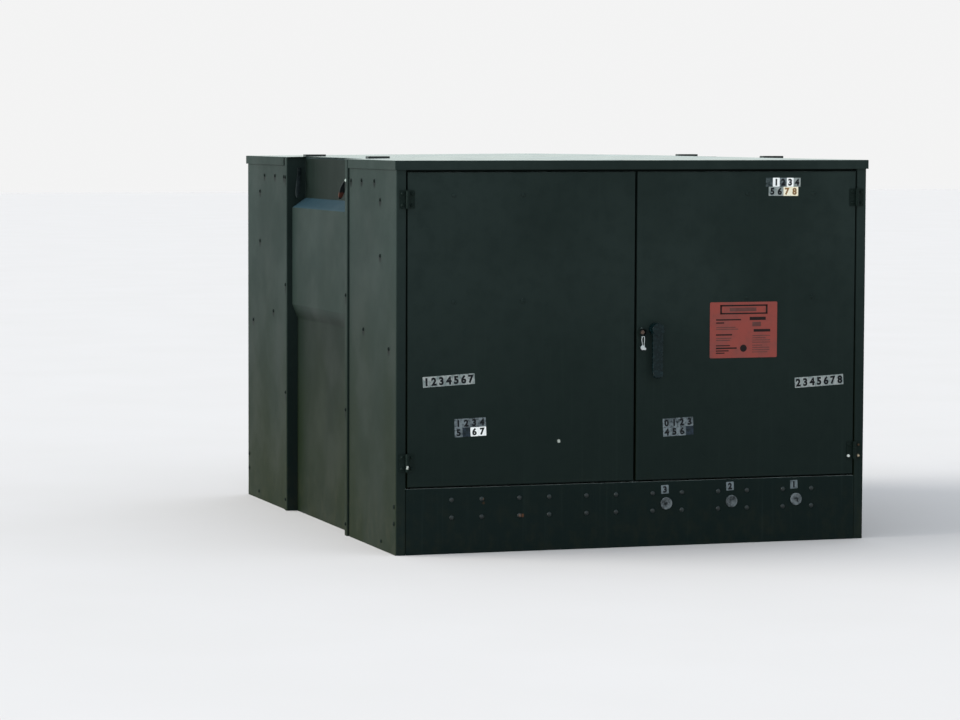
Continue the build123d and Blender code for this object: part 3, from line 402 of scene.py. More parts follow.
def galvanised_steel():
    """Hot dip zinc: dull grey crystals some 12 mm across, under a pale bloom of oxide."""
    material, tree, shader, place = blank_material("hot_dip_galvanised_steel")
    crystals = add_node(tree, "ShaderNodeTexVoronoi", {"Vector": place, "Scale": 1 / 0.012})
    tone = add_node(tree, "ShaderNodeSeparateColor", {0: crystals.outputs["Color"]}).outputs[0]
    zinc = layer(tree, "#8D9296", "#A9ADB0", tone)
    zinc = layer(tree, zinc, "#C3C4C0", (
        pattern(tree, place, 0.08, detail=5, roughness=0.6), 0.5, 0.75, 0.0, 0.6))
    tree.links.new(zinc, shader.inputs["Base Color"])
    shader.inputs["Metallic"].default_value = 0.85
    tree.links.new(strength(tree, (tone, 0, 1, 0.42, 0.58)), shader.inputs["Roughness"])
    bump(tree, shader, [(pattern(tree, place, 0.004, detail=3), 0.00008)])
    return material


def moulded(name, colour, second, roughness, cell):
    """Moulded or laminated plastic and resin: slow changes of tone and a finely grained skin."""
    material, tree, shader, place = blank_material(name)
    tone = strength(tree, (pattern(tree, place, cell, detail=4), 0.35, 0.70, 0.0, 1.0))
    tree.links.new(layer(tree, colour, second, tone), shader.inputs["Base Color"])
    tree.links.new(strength(tree, (tone, 0, 1, roughness, roughness + 0.1)), shader.inputs["Roughness"])
    shader.inputs["IOR"].default_value = ENAMEL_IOR
    bump(tree, shader, [(pattern(tree, place, cell * 0.05, detail=3), cell * 0.0012)])
    return material


def aged_vinyl(name, colour, second, dirt, amount, cell=0.012):
    """Vinyl film after years outdoors: a satin sheet that has faded unevenly, grimy in ragged patches."""
    material, tree, shader, place = blank_material(name)
    fade = (pattern(tree, place, cell * 2, detail=4), 0.35, 0.7, 0.0, 1.0)
    grime = strength(tree, (pattern(tree, place, cell, detail=6, roughness=0.7), 0.45, 0.70, 0.0, amount))
    film = layer(tree, layer(tree, colour, second, fade), dirt, grime)
    tree.links.new(film, shader.inputs["Base Color"])
    tree.links.new(strength(tree, (grime, 0, 1, 0.38, 0.7)), shader.inputs["Roughness"])
    shader.inputs["IOR"].default_value = VINYL_IOR
    shader.inputs["Specular IOR Level"].default_value = 0.18
    bump(tree, shader, [(pattern(tree, place, 0.003, detail=3), 0.00006)])
    return material


# Modelling

def deselect():
    """Nothing selected and nothing active."""
    bpy.ops.object.select_all(action="DESELECT")
    bpy.context.view_layer.objects.active = None


def select(piece):
    """One piece selected and active, and nothing else."""
    deselect()
    piece.select_set(True)
    bpy.context.view_layer.objects.active = piece


def active_piece(name):
    """The object that the last operator made, under its own name."""
    piece = bpy.context.object
    piece.name = name
    piece.data.name = name
    return piece


def start_edit(piece):
    """Edit mode on one piece, with all of it selected."""
    select(piece)
    bpy.ops.object.mode_set(mode="EDIT")
    bpy.ops.mesh.select_all(action="SELECT")


def end_edit():
    """Back to object mode, with every face turned outwards."""
    bpy.ops.mesh.select_all(action="SELECT")
    bpy.ops.mesh.normals_make_consistent(inside=False)
    bpy.ops.object.mode_set(mode="OBJECT")


def settle(piece):
    """Place, turn and scale go into the mesh, so that the object sits at the origin."""
    select(piece)
    bpy.ops.object.transform_apply(location=True, rotation=True, scale=True)


def smooth(piece, angle=35):
    """Smooth shading up to an angle between faces, in degrees."""
    select(piece)
    bpy.ops.object.shade_smooth_by_angle(angle=math.radians(angle))


def copy_to(piece, matrix, name):
    """A copy with its own mesh, carried to another place."""
    twin = piece.copy()
    twin.data = piece.data.copy()
    twin.data.transform(matrix)
    twin.name = name
    bpy.context.scene.collection.objects.link(twin)
    return twin


def join(pieces, name):
    """Several objects made one."""
    select(pieces[0])
    for piece in pieces:
        piece.select_set(True)
    if len(pieces) > 1:
        bpy.ops.object.join()
    return active_piece(name)


def discard(piece):
    """Remove a pattern piece once its copies are made."""
    bpy.data.objects.remove(piece, do_unlink=True)


def finish_piece(piece, body, material=None, angle=35):
    """Finish, body and slot of a finished piece."""
    settle(piece)
    smooth(piece, angle)
    if material is not None:
        piece.data.materials.clear()
        piece.data.materials.append(material)
    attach(piece, body)
    return piece


def islands(node):
    """Boxes of the separate solids of a CAD node, as (lowest corner, highest corner)."""
    mesh = frame["nodes"][node].data
    parent = {}

    def root(key):
        while parent[key] != key:
            parent[key] = parent[parent[key]]
            key = parent[key]
        return key

    # Its triangles are loose, so corners at one place count as one.
    keys = [tuple(round(c, 6) for c in vertex.co) for vertex in mesh.vertices]
    for key in keys:
        parent.setdefault(key, key)
    for edge in mesh.edges:
        a, b = (root(keys[i]) for i in edge.vertices)
        if a != b:
            parent[a] = b
    solids = {}
    for key in set(keys):
        solids.setdefault(root(key), []).append(key)
    boxes = []
    for corners in solids.values():
        low = Vector([min(p[i] for p in corners) for i in range(3)])
        high = Vector([max(p[i] for p in corners) for i in range(3)])
        boxes.append((low, high))
    return sorted(boxes, key=lambda box: tuple(box[0]))


def turned_pattern(name, rings, segments=24):
    """A turned form about +Z: a disc raised ring by ring through (radius, height), closed at the top."""
    deselect()
    bpy.ops.mesh.primitive_circle_add(vertices=segments, radius=rings[0][0], fill_type="NGON",
                                      location=(0, 0, 0))
    piece = active_piece(name)
    start_edit(piece)
    for (radius_before, height_before), (radius, height) in zip(rings, rings[1:]):
        bpy.ops.mesh.extrude_region_move(TRANSFORM_OT_translate={"value": (0, 0, height - height_before)})
        factor = radius / radius_before
        bpy.ops.transform.resize(value=(factor, factor, 1))
    end_edit()
    return piece


def swept(name, sections):
    """A bar extruded from one level section to the next, each (centre, width along x, depth along y)."""
    deselect()
    centre, width, depth = sections[0]
    bpy.ops.mesh.primitive_plane_add(size=1, location=centre)
    piece = active_piece(name)
    piece.scale = (width, depth, 1)
    settle(piece)
    start_edit(piece)
    for (before, wide, deep), (after, next_wide, next_deep) in zip(sections, sections[1:]):
        step = tuple(Vector(after) - Vector(before))
        bpy.ops.mesh.extrude_region_move(TRANSFORM_OT_translate={"value": step})
        bpy.ops.transform.resize(value=(next_wide / wide, next_deep / deep, 1), center_override=tuple(after))
    end_edit()
    return piece


def upright_sheet(name, centre, width, height, thickness, corner, segments=2):
    """A thin upright sheet that faces the front, with rounded corners."""
    deselect()
    bpy.ops.mesh.primitive_cube_add(size=1, location=centre)
    sheet = active_piece(name)
    sheet.scale = (width, thickness, height)
    settle(sheet)
    start_edit(sheet)
    bpy.ops.mesh.select_mode(type="EDGE")
    bpy.ops.mesh.select_all(action="DESELECT")
    bpy.ops.object.mode_set(mode="OBJECT")
    for edge in sheet.data.edges:
        a, b = (sheet.data.vertices[i].co for i in edge.vertices)
        edge.select = abs(a.y - b.y) > thickness / 2
    bpy.ops.object.mode_set(mode="EDIT")
    bpy.ops.mesh.bevel(offset=corner, segments=segments)
    end_edit()
    return sheet


def wire(name, points, radius):
    """A round wire along a smooth curve that some points guide, as a mesh with closed ends."""
    curve = bpy.data.curves.new(name, "CURVE")
    curve.dimensions = "3D"
    curve.bevel_depth = radius
    curve.bevel_resolution = 3
    curve.use_fill_caps = True
    line = curve.splines.new("NURBS")
    line.points.add(len(points) - 1)
    for point, place_at in zip(line.points, points):
        point.co = (*place_at, 1)
    line.use_endpoint_u = True
    line.order_u = 3
    line.resolution_u = 6
    strand = bpy.data.objects.new(name, curve)
    bpy.context.scene.collection.objects.link(strand)
    select(strand)
    bpy.ops.object.convert(target="MESH")
    return active_piece(name)


# Outline of a low carriage bolt head, as (radius, height) for a head of radius and height 1
DOME = [(1.0, 0.0), (1.0, 0.14), (0.94, 0.24), (0.86, 0.42), (0.72, 0.64), (0.52, 0.83), (0.28, 0.96),
        (0.08, 1.0)]


def outward(low, high, way):
    """Matrix that carries a unit dome onto the seat of a box, standing out along way."""
    axis = max(range(3), key=lambda i: abs(way[i]))
    centre = (low + high) / 2
    centre[axis] = low[axis] if way[axis] > 0 else high[axis]
    height = high[axis] - low[axis]
    radius = max(high[i] - low[i] for i in range(3) if i != axis) / 2
    turn = Vector((0, 0, 1)).rotation_difference(Vector(way)).to_matrix().to_4x4()
    return Matrix.Translation(centre) @ turn @ Matrix.Diagonal((radius, radius, height, 1))


def dome_seats(node, way_of, limit=math.inf, wider=1.0, taller=1.0):
    """Matrices of the domes over the heads of a CAD node, leaving out solids larger than the limit."""
    size = Matrix.Diagonal((wider, wider, taller, 1))
    return [outward(low, high, way_of((low + high) / 2)) @ size
            for low, high in islands(node) if max(high - low) < limit]


def domes(name, seats, body, material):
    """One piece of like domed heads."""
    dome = turned_pattern("dome_pattern", DOME)
    heads = [copy_to(dome, seat, f"{name}_{i}") for i, seat in enumerate(seats)]
    discard(dome)
    return finish_piece(join(heads, name), body, material)


# A digit's size and how much bolder than the plain font it is printed, as shares of its tile's height
DIGIT_SIZE = 0.98
DIGIT_WEIGHT = 0.050

# Width and height of a tile's vinyl as a share of its pitch, which leaves a hairline between tiles
TILE_SHARE = 0.99

# Rounding of a tile's corners, as a share of its width
TILE_CORNER = 0.06


def number_tile(name, centre, width, height, angle, digit, sizes, vinyl_and_ink):
    """One vinyl tile on a front sheet, with one printed digit or none."""
    vinyl, ink = vinyl_and_ink
    thickness = sizes.tile_thickness
    tile = upright_sheet(name, (0, 0, 0), width, height, thickness, width * TILE_CORNER)
    tile.data.materials.append(vinyl)
    parts = [tile]
    if digit.strip():
        deselect()
        bpy.ops.object.text_add(location=(0, -(thickness + sizes.print_thickness) / 2, 0),
                                rotation=(math.radians(90), 0, 0))
        text = bpy.context.object
        text.data.body = digit
        text.data.size = height * DIGIT_SIZE
        text.data.offset = height * DIGIT_WEIGHT
        text.data.align_x = "CENTER"
        text.data.align_y = "CENTER"
        # Text is extruded both ways. This keeps it just clear of the vinyl and inside the print's height.
        text.data.extrude = sizes.print_thickness * 0.4
        text.data.resolution_u = 3
        bpy.ops.object.convert(target="MESH")
        figure = active_piece(name + "_ink")
        settle(figure)
        # The font's own spacing is taken out, so that the digit stands in the middle of its tile.
        middle = sum((Vector(c) for c in figure.bound_box), Vector()) / 8
        figure.data.transform(Matrix.Translation((-middle.x, 0, -middle.z)))
        figure.data.materials.clear()
        figure.data.materials.append(ink)
        parts.append(figure)
    piece = join(parts, name)
    piece.data.transform(Matrix.Translation(centre) @ Matrix.Rotation(angle, 4, "Y"))
    return piece


def tiles(digits, *finishes):
    """A row of (digit, finish); a space is a blank tile, and a single finish serves the whole row."""
    if len(finishes) == 1:
        finishes *= len(digits)
    return list(zip(digits, finishes))


def tile_group(name, body, corner, tilt, pitch, rows, sizes, films):
    """Rows of tiles on the front, from the top left corner (x, z), turned by a tilt in degrees."""
    width, height = pitch
    angle = math.radians(tilt)
    start = Vector((corner[0], FRONT - sizes.tile_thickness / 2, corner[1]))
    along = Vector((math.cos(angle), 0, -math.sin(angle)))
    down = Vector((-math.sin(angle), 0, -math.cos(angle)))
    made = []
    for r, row in enumerate(rows):
        for c, (digit, finish) in enumerate(row):
            centre = start + along * (c + 0.5) * width + down * (r + 0.5) * height
            made.append(number_tile(f"{name}_{r}_{c}", centre, width * TILE_SHARE, height * TILE_SHARE,
                                    angle, digit, sizes, films[finish]))
    return finish_piece(join(made, name), body, angle=30)


# Operators

# Finishes by the slot names of the record, filled by the first operator
FINISHES = {}


class CABINET_OT_finishes(bpy.types.Operator):
    """Give every solid of the housing its finish"""

    bl_idname = "cabinet.finishes"
    bl_label = "Finishes"

    def execute(self, context):
        colours = context.scene.cabinet_colours
        lock_low, lock_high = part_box("front_lock_bolt")
        lock_x, lock_z = (lock_low.x + lock_high.x) / 2, (lock_low.z + lock_high.z) / 2
        # Screws of a side with a dark run below, partly a stain and partly a painted shadow: how far behind
        # the front face, and how high. Of each run: where its screw is, its width and its length.
        leaking_shaded_screws = [(0.253, 1.248), (0.404, 1.248), (0.532, 1.246), (0.185, 1.186), (0.185, 0.997),
                 (0.381, 0.737), (0.084, 0.688)]
        screw_runs_and_shadows = [((-LEFT, -FRONT - behind, high), 0.018, 0.020) for behind, high in leaking_shaded_screws]
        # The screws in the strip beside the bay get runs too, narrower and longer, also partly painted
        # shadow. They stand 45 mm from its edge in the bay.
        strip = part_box("bay_jamb_front_right")[1]
        screw_runs_and_shadows += [((strip.x, 0.045 - strip.y, high), 0.010, 0.030) for high in (1.245, 0.845, 0.443)]
        # The paint of the sheets sets the whole look: very dark green, satin, greyer where it has aged.
        FINISHES["cabinet_paint"] = weathered_enamel(
            "weathered_dark_green_enamel", colours.paint, colours.paint_faded, runs_and_shadows_below=screw_runs_and_shadows, marks=[
                # A pale chip in the left door, and a near black patch on the cup of the lock.
                ((-0.2760, FRONT, 0.3706), 0.007, "#AEB3AC"),
                ((lock_x, FRONT - 0.011, lock_z), 0.019, "#0D1212"),
            ])
        # The base panels are darker, partly as painted shade of the low front, and less filmed, with rust
        # below two of their bolts.
        base_panel = weathered_enamel(
            "base_panel_green_enamel", colours.base_paint, colours.base_paint_faded, low_film_and_grass_reflection=0.6, marks=[
                ((-0.4055, FRONT, 0.121), 0.008, "#5A3E2E"),
                ((-0.5440, FRONT, 0.168), 0.006, "#33291F"),
            ])
        # The roof's level sheet glares pale at a low angle.
        roof_paint = weathered_enamel(
            "roof_green_enamel", colours.paint, colours.paint_faded, top_gloss=True)
        # In the bays the paint is darkened, partly as unfaded enamel and partly as painted shade of the
        # recess, all but the outer 17 mm of the hoods.
        hood_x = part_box("bay_panel_right")[1].x
        bay_paint = weathered_enamel(
            "bay_green_enamel", colours.paint, colours.paint_faded,
            bay_depth_shade=(colours.deep_bay_paint_and_shade, hood_x - 0.017, hood_x - 0.001))
        # The handle is smoother and blacker than the doors, with crisp small highlights.
        FINISHES["handle_paint"] = plain_enamel(
            "black_green_handle_enamel", "#08181A", "#12262A", 0.26, sheen=0.16)
        # The hinges are dull, with pale chips and a little rust on the two lower ones.
        FINISHES["hinge_paint"] = plain_enamel(
            "dark_green_hinge_enamel", "#0F1B18", "#182420", 0.55, marks=[
                ((-0.8165, FRONT - 0.012, 0.2990), 0.0046, "#D9DCD8"),
                ((-0.8170, FRONT - 0.012, 0.2935), 0.0048, "#B9BDB6"),
                ((0.7950, FRONT - 0.005, 0.2915), 0.0065, "#D9DCD8"),
                ((0.8325, FRONT - 0.005, 0.2915), 0.0060, "#B7A58C"),
                ((0.8325, FRONT - 0.005, 0.3295), 0.0050, "#4E3B2C"),
            ])
        # Painted bolts catch a small glint each; the lock bolt and two base bolts have rusted through.
        FINISHES["painted_fastener"] = plain_enamel(
            "painted_fastener_enamel", "#0E1819", "#1E2B2B", 0.34, sheen=0.45, marks=[
                ((lock_x, FRONT - 0.007, lock_z), 0.009, "#5A4436"),
                ((-0.4155, FRONT - 0.003, 0.122), 0.006, "#5A3F30"),
                ((-0.5430, FRONT - 0.003, 0.182), 0.006, "#4A382C"),
            ])
        # Inside: spangled zinc, red-brown board, brown glossy resin, tarnished copper and pale glass tube.
        FINISHES["galvanised_steel"] = galvanised_steel()
        FINISHES["barrier_board"] = moulded(
            "glass_polyester_barrier_board", "#8E4A3E", "#9C5848", 0.55, 0.020)
        FINISHES["insulator_resin"] = moulded(
            "cast_epoxy_insulator_resin", "#6A4A3C", "#74523F", 0.30, 0.030)
        FINISHES["copper"] = metal("oxidised_copper_bar", "#B4714E", "#6B4A38", 0.36, 0.0012, (8, 1, 1))
        FINISHES["fuse_tube"] = moulded("wound_glass_fuse_tube", "#C9C2AE", "#B5AC95", 0.45, 0.006)
        # The seal is bright tin, the lightest thing near the handle.
        FINISHES["seal_metal"] = metal("tinned_seal_wire", "#D5DADC", "#A9B0B4", 0.34, 0.0010)
        FINISHES["indicator_face"] = aged_vinyl(
            "stained_indicator_plastic", "#4C5759", "#414B4B", "#22292A", 0.55, 0.010)
        own_paint = {
            "front_base_panel": base_panel, "rear_base_panel": base_panel, "roof": roof_paint,
            "bay_panel_left": bay_paint, "bay_panel_right": bay_paint,
        }
        for entry in frame["record"]["subparts"]:
            solid = frame["nodes"][entry["node"]]
            material = own_paint.get(entry["node"], FINISHES[entry["material_slot"]])
            for slot in solid.material_slots:
                slot.material = material
            if not solid.material_slots:
                solid.data.materials.append(material)
        return {"FINISHED"}


class CABINET_OT_bolt_heads(bpy.types.Operator):
    """Domed heads of the bolts and screws in the base panels, the sides and the doors"""

    bl_idname = "cabinet.bolt_heads"
    bl_label = "Bolt heads"

    def execute(self, context):
        base = domes("base_bolt_heads", dome_seats("base_bolts", lambda c: (0, math.copysign(1, c.y), 0)),
                     "enclosure", FINISHES["painted_fastener"])
        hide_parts("base_bolts")
        # The screws of the sides are dark and dull, with dark runs below them; the pale grey mark on the top
        # one of the left strip is a painted highlight.
        dull = plain_enamel("side_screw_enamel", "#0B1211", "#141D1A", 0.60, marks=[
            ((LEFT - 0.009, -0.3990, 1.2450), 0.009, "#9AA39E")], sheen=0.04)
        side = domes("side_screw_heads", dome_seats("side_screws", lambda c: (math.copysign(1, c.x), 0, 0)),
                     "enclosure", dull)
        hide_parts("side_screws")
        # Of each storage rack only the four bolt heads are under 20 mm. They are painted with the door.
        for side_name in ("left", "right"):
            seats = dome_seats(f"{side_name}_storage_rack", lambda c: (0, -1, 0), limit=0.020,
                               wider=1.14, taller=1.25)
            domes(f"{side_name}_rack_bolt_heads", seats, f"front_{side_name}_door",
                  FINISHES["cabinet_paint"])
        return {"FINISHED"}


class CABINET_OT_fault_indicators(bpy.types.Operator):
    """Round indicators with a raised rim, a sunk lens and a centre stud"""

    bl_idname = "cabinet.fault_indicators"
    bl_label = "Fault indicators"

    def execute(self, context):
        # Stem, flange, rounded rim, sunk lens and stud, as (radius, distance from the back end of the stem).
        stem = 0.0340
        rings = [(0.0170, 0.0), (0.0170, stem), (0.0210, stem), (0.0210, stem + 0.0028),
                 (0.0200, stem + 0.0040), (0.0172, stem + 0.0040), (0.0160, stem + 0.0022),
                 (0.0060, stem + 0.0016), (0.0052, stem + 0.0034), (0.0012, stem + 0.0038)]
        indicator = turned_pattern("indicator_pattern", rings, segments=32)
        copies = []
        for i, (low, high) in enumerate(islands("fault_indicators")):
            middle = (low + high) / 2
            seat = Matrix.Translation((middle.x, FRONT + stem, middle.z)) @ TO_FRONT
            copies.append(copy_to(indicator, seat, f"indicator_{i}"))
        discard(indicator)
        # The lenses are milky grey with black blotches of damp and dirt.
        face = aged_vinyl("stained_indicator_lens", "#71777B", "#464C4F", "#0A0E10", 1.0, 0.018)
        piece = finish_piece(join(copies, "indicators"), "enclosure", face)
        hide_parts("fault_indicators")
        return {"FINISHED"}


class CABINET_OT_wire_seal(bpy.types.Operator):
    """Two strands of seal wire from the lock cup, with a large and a small crimped bead"""

    bl_idname = "cabinet.wire_seal"
    bl_label = "Wire seal"

    def execute(self, context):
        sizes = context.scene.cabinet_sizes
        radius = sizes.wire_radius
        low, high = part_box("wire_seal")
        y = (low.y + high.y) / 2
        top = high.z - radius

        def at(right, down):
            """A point of the seal, from the left side and the top of its box."""
            return low.x + right, y, high.z - down

        large, small = at(0.0085, 0.0390), at(0.0165, 0.0428)
        left_top, right_top = (low.x + 0.0060, y, top), (low.x + 0.0145, y, top)
        strands = [
            wire("seal_strand_left", [left_top, at(0.0047, 0.0140), at(0.0073, 0.0250), large], radius),
            wire("seal_strand_right", [right_top, at(0.0151, 0.0160), at(0.0125, 0.0280), small], radius),
            wire("seal_strand_top", [left_top, (low.x + 0.0103, y, top + 0.0004), right_top], radius),
        ]
        # A crimped bead: a drum with rounded ends and a dimple, for a radius and a depth of 1.
        bead = turned_pattern("bead_pattern", [
            (0.70, 0.0), (0.94, 0.16), (1.0, 0.42), (0.94, 0.74), (0.70, 0.92), (0.30, 0.92), (0.24, 0.80),
            (0.05, 0.80)], segments=20)
        beads = []
        for name, centre, size in (("seal_bead_large", large, sizes.large_bead),
                                   ("seal_bead_small", small, sizes.small_bead)):
            seat = Matrix.Translation((centre[0], high.y, centre[2])) @ TO_FRONT
            beads.append(copy_to(bead, seat @ Matrix.Diagonal((size, size, high.y - low.y, 1)), name))
        discard(bead)
        piece = finish_piece(join(strands + beads, "seal"), "front_right_door",
                             FINISHES["seal_metal"], 40)
        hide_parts("wire_seal")
        return {"FINISHED"}


class CABINET_OT_bay_hooks(bpy.types.Operator):
    """Leaf shaped hooks bent out from the end walls of the bays, rusty at their tips"""

    bl_idname = "cabinet.bay_hooks"
    bl_label = "Bay hooks"

    def execute(self, context):
        # The leaves keep half a millimetre off the end wall, which the solids of the hooks reach.
        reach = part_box("bay_hooks")[1]
        wall = reach.y - 0.0005
        # Sections from the welded pad to the tip: how far inside the outermost point of the solids, out
        # from the wall and below the top, then width and depth. The front hooks are bent further out.
        front_leaf = [
            (0.0345, 0.0030, 0.0020, 0.016, 0.005), (0.0285, 0.0040, 0.0220, 0.016, 0.006),
            (0.0185, 0.0130, 0.0340, 0.017, 0.008), (0.0105, 0.0330, 0.0480, 0.018, 0.009),
            (0.0065, 0.0510, 0.0680, 0.020, 0.009), (0.0060, 0.0660, 0.0860, 0.020, 0.008),
            (0.0050, 0.0780, 0.1000, 0.016, 0.007), (0.0045, 0.0860, 0.1100, 0.009, 0.006),
        ]
        rear_leaf = [
            (0.0445, 0.0030, 0.0080, 0.014, 0.005), (0.0440, 0.0030, 0.0340, 0.014, 0.005),
            (0.0415, 0.0060, 0.0440, 0.013, 0.007), (0.0375, 0.0190, 0.0570, 0.014, 0.009),
            (0.0315, 0.0360, 0.0760, 0.016, 0.009), (0.0255, 0.0520, 0.0940, 0.016, 0.008),
            (0.0215, 0.0640, 0.1080, 0.013, 0.007), (0.0195, 0.0710, 0.1170, 0.008, 0.006),
        ]
        hooks = []
        for way, leaf in ((-1, front_leaf), (1, rear_leaf)):
            blade = swept("hook_pattern", [
                ((reach.x - inside, way * (wall - out), reach.z - below), width, depth)
                for inside, out, below, width, depth in leaf])
            for side in (-1, 1):
                hook = copy_to(blade, Matrix.Diagonal((side, 1, 1, 1)), f"hook_{len(hooks)}")
                start_edit(hook)
                bpy.ops.mesh.bevel(offset=context.scene.cabinet_sizes.hook_rounding, segments=2)
                bpy.ops.mesh.remove_doubles(threshold=0.00001)
                end_edit()
                hooks.append(hook)
            discard(blade)
        # The thick enamel is dull and nearly black, and rust shows through it near the front tips.
        tips = [(side * (reach.x - 0.0050), 0.0715 - wall, reach.z - 0.0950) for side in (-1, 1)]
        paint = plain_enamel("hook_enamel", "#0E1517", "#1E2626", 0.50,
                             marks=[(tip, 0.017, "#4A2A20") for tip in tips])
        piece = finish_piece(join(hooks, "hooks"), "enclosure", paint, 50)
        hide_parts("bay_hooks")
        return {"FINISHED"}


class CABINET_OT_number_tiles(bpy.types.Operator):
    """Rows of vinyl tiles with plain digits on the front doors and above the indicators"""

    bl_idname = "cabinet.number_tiles"
    bl_label = "Number tiles"

    def execute(self, context):
        sizes = context.scene.cabinet_sizes
        tile = context.scene.cabinet_colours.tile
        # Screen ink: near black, or baked brown by the sun.
        ink = aged_vinyl("tile_ink", "#04070C", "#080C14", "#1A2024", 0.15)
        brown_ink = aged_vinyl("tile_ink_faded", "#9A6E3C", "#85694A", "#6E6658", 0.3)
        # The vinyl runs from nearly new white and cream, through grey, to worn away to the paint.
        films = {
            "aged": (aged_vinyl("aged_tile_vinyl", tile, "#7C8787", "#3F4849", 0.35), ink),
            "worn": (aged_vinyl("worn_tile_vinyl", "#757E83", "#4E575C", "#10181A", 1.0), ink),
            "gone": (aged_vinyl("thinned_tile_vinyl", "#4A5558", "#2A3537", "#141E1D", 0.95, 0.006), ink),
            "pole": (aged_vinyl("pole_tile_vinyl", "#747D82", "#596266", "#1A2326", 0.45, 0.020), ink),
            "lost": (aged_vinyl("worn_away_tile_vinyl", "#26323E", "#1A2428", "#10181B", 0.90, 0.008), ink),
            "bright": (aged_vinyl("bright_tile_vinyl", "#FFFFFF", "#FAFAFA", "#D9D9DC", 0.10), ink),
            "warm": (aged_vinyl("warm_tile_vinyl", "#FFF8E4", "#FFF2D4", "#DCCBA4", 0.15), brown_ink),
        }
        # The tiles came in several sizes: of the long rows, the low blocks, the two rows at the top and
        # the single ones below the doors.
        row = (sizes.tile_width, sizes.tile_height)
        block = (sizes.block_tile_width, sizes.block_tile_height)
        top, below_top = (0.0259, 0.0310), (0.0276, 0.0315)
        single = (0.0278, 0.0298)
        # Of each group: the top left corner, from the lower left corner of its door, its tilt in degrees,
        # the pitch of its tiles and its rows.
        groups = [
            ("number_row_left", "front_left_door", (0.0525, 0.3695), -3.0, row,
             [tiles("1234567", "aged")]),
            ("number_row_right", "front_right_door", (0.5860, 0.3400), -3.0, row,
             [tiles("2345678", "aged")]),
            ("number_block_left", "front_left_door", (0.1645, 0.2260), -2.0, block,
             [tiles("1234", "worn"), tiles("5 67", "worn", "lost", "bright", "bright")]),
            ("number_block_right", "front_right_door", (0.0970, 0.2090), -2.5, block,
             [tiles("0123", "worn"), tiles("456 ", "worn", "worn", "worn", "lost")]),
            ("number_row_top", "front_right_door", (0.4715, 1.0315), 0.4, top,
             [tiles(" 1234", "gone", "bright", "worn", "bright", "aged")]),
            ("number_row_below_top", "front_right_door", (0.4822, 1.0005), 0.4, below_top,
             [tiles("5678", "aged", "aged", "warm", "warm")]),
        ]
        for name, door, (right, up), tilt, pitch, rows in groups:
            low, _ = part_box(door)
            tile_group(name, door, (low.x + right, low.z + up), tilt, pitch, rows, sizes, films)
        # One tile stands above each indicator, and none is quite in the middle: the top left corner of
        # each, from the middle of its indicator. They count from the right.
        pole_corners = [(-0.0196, 0.0625), (-0.0203, 0.0666), (-0.0228, 0.0656)]
        for i, ((low, high), (right, up)) in enumerate(zip(islands("fault_indicators"), pole_corners)):
            middle = (low + high) / 2
            corner = (middle.x + right, middle.z + up)
            tile_group(f"pole_tile_{i + 1}", "enclosure", corner, -2.0, single,
                       [tiles(str(3 - i), "pole")], sizes, films)
        return {"FINISHED"}


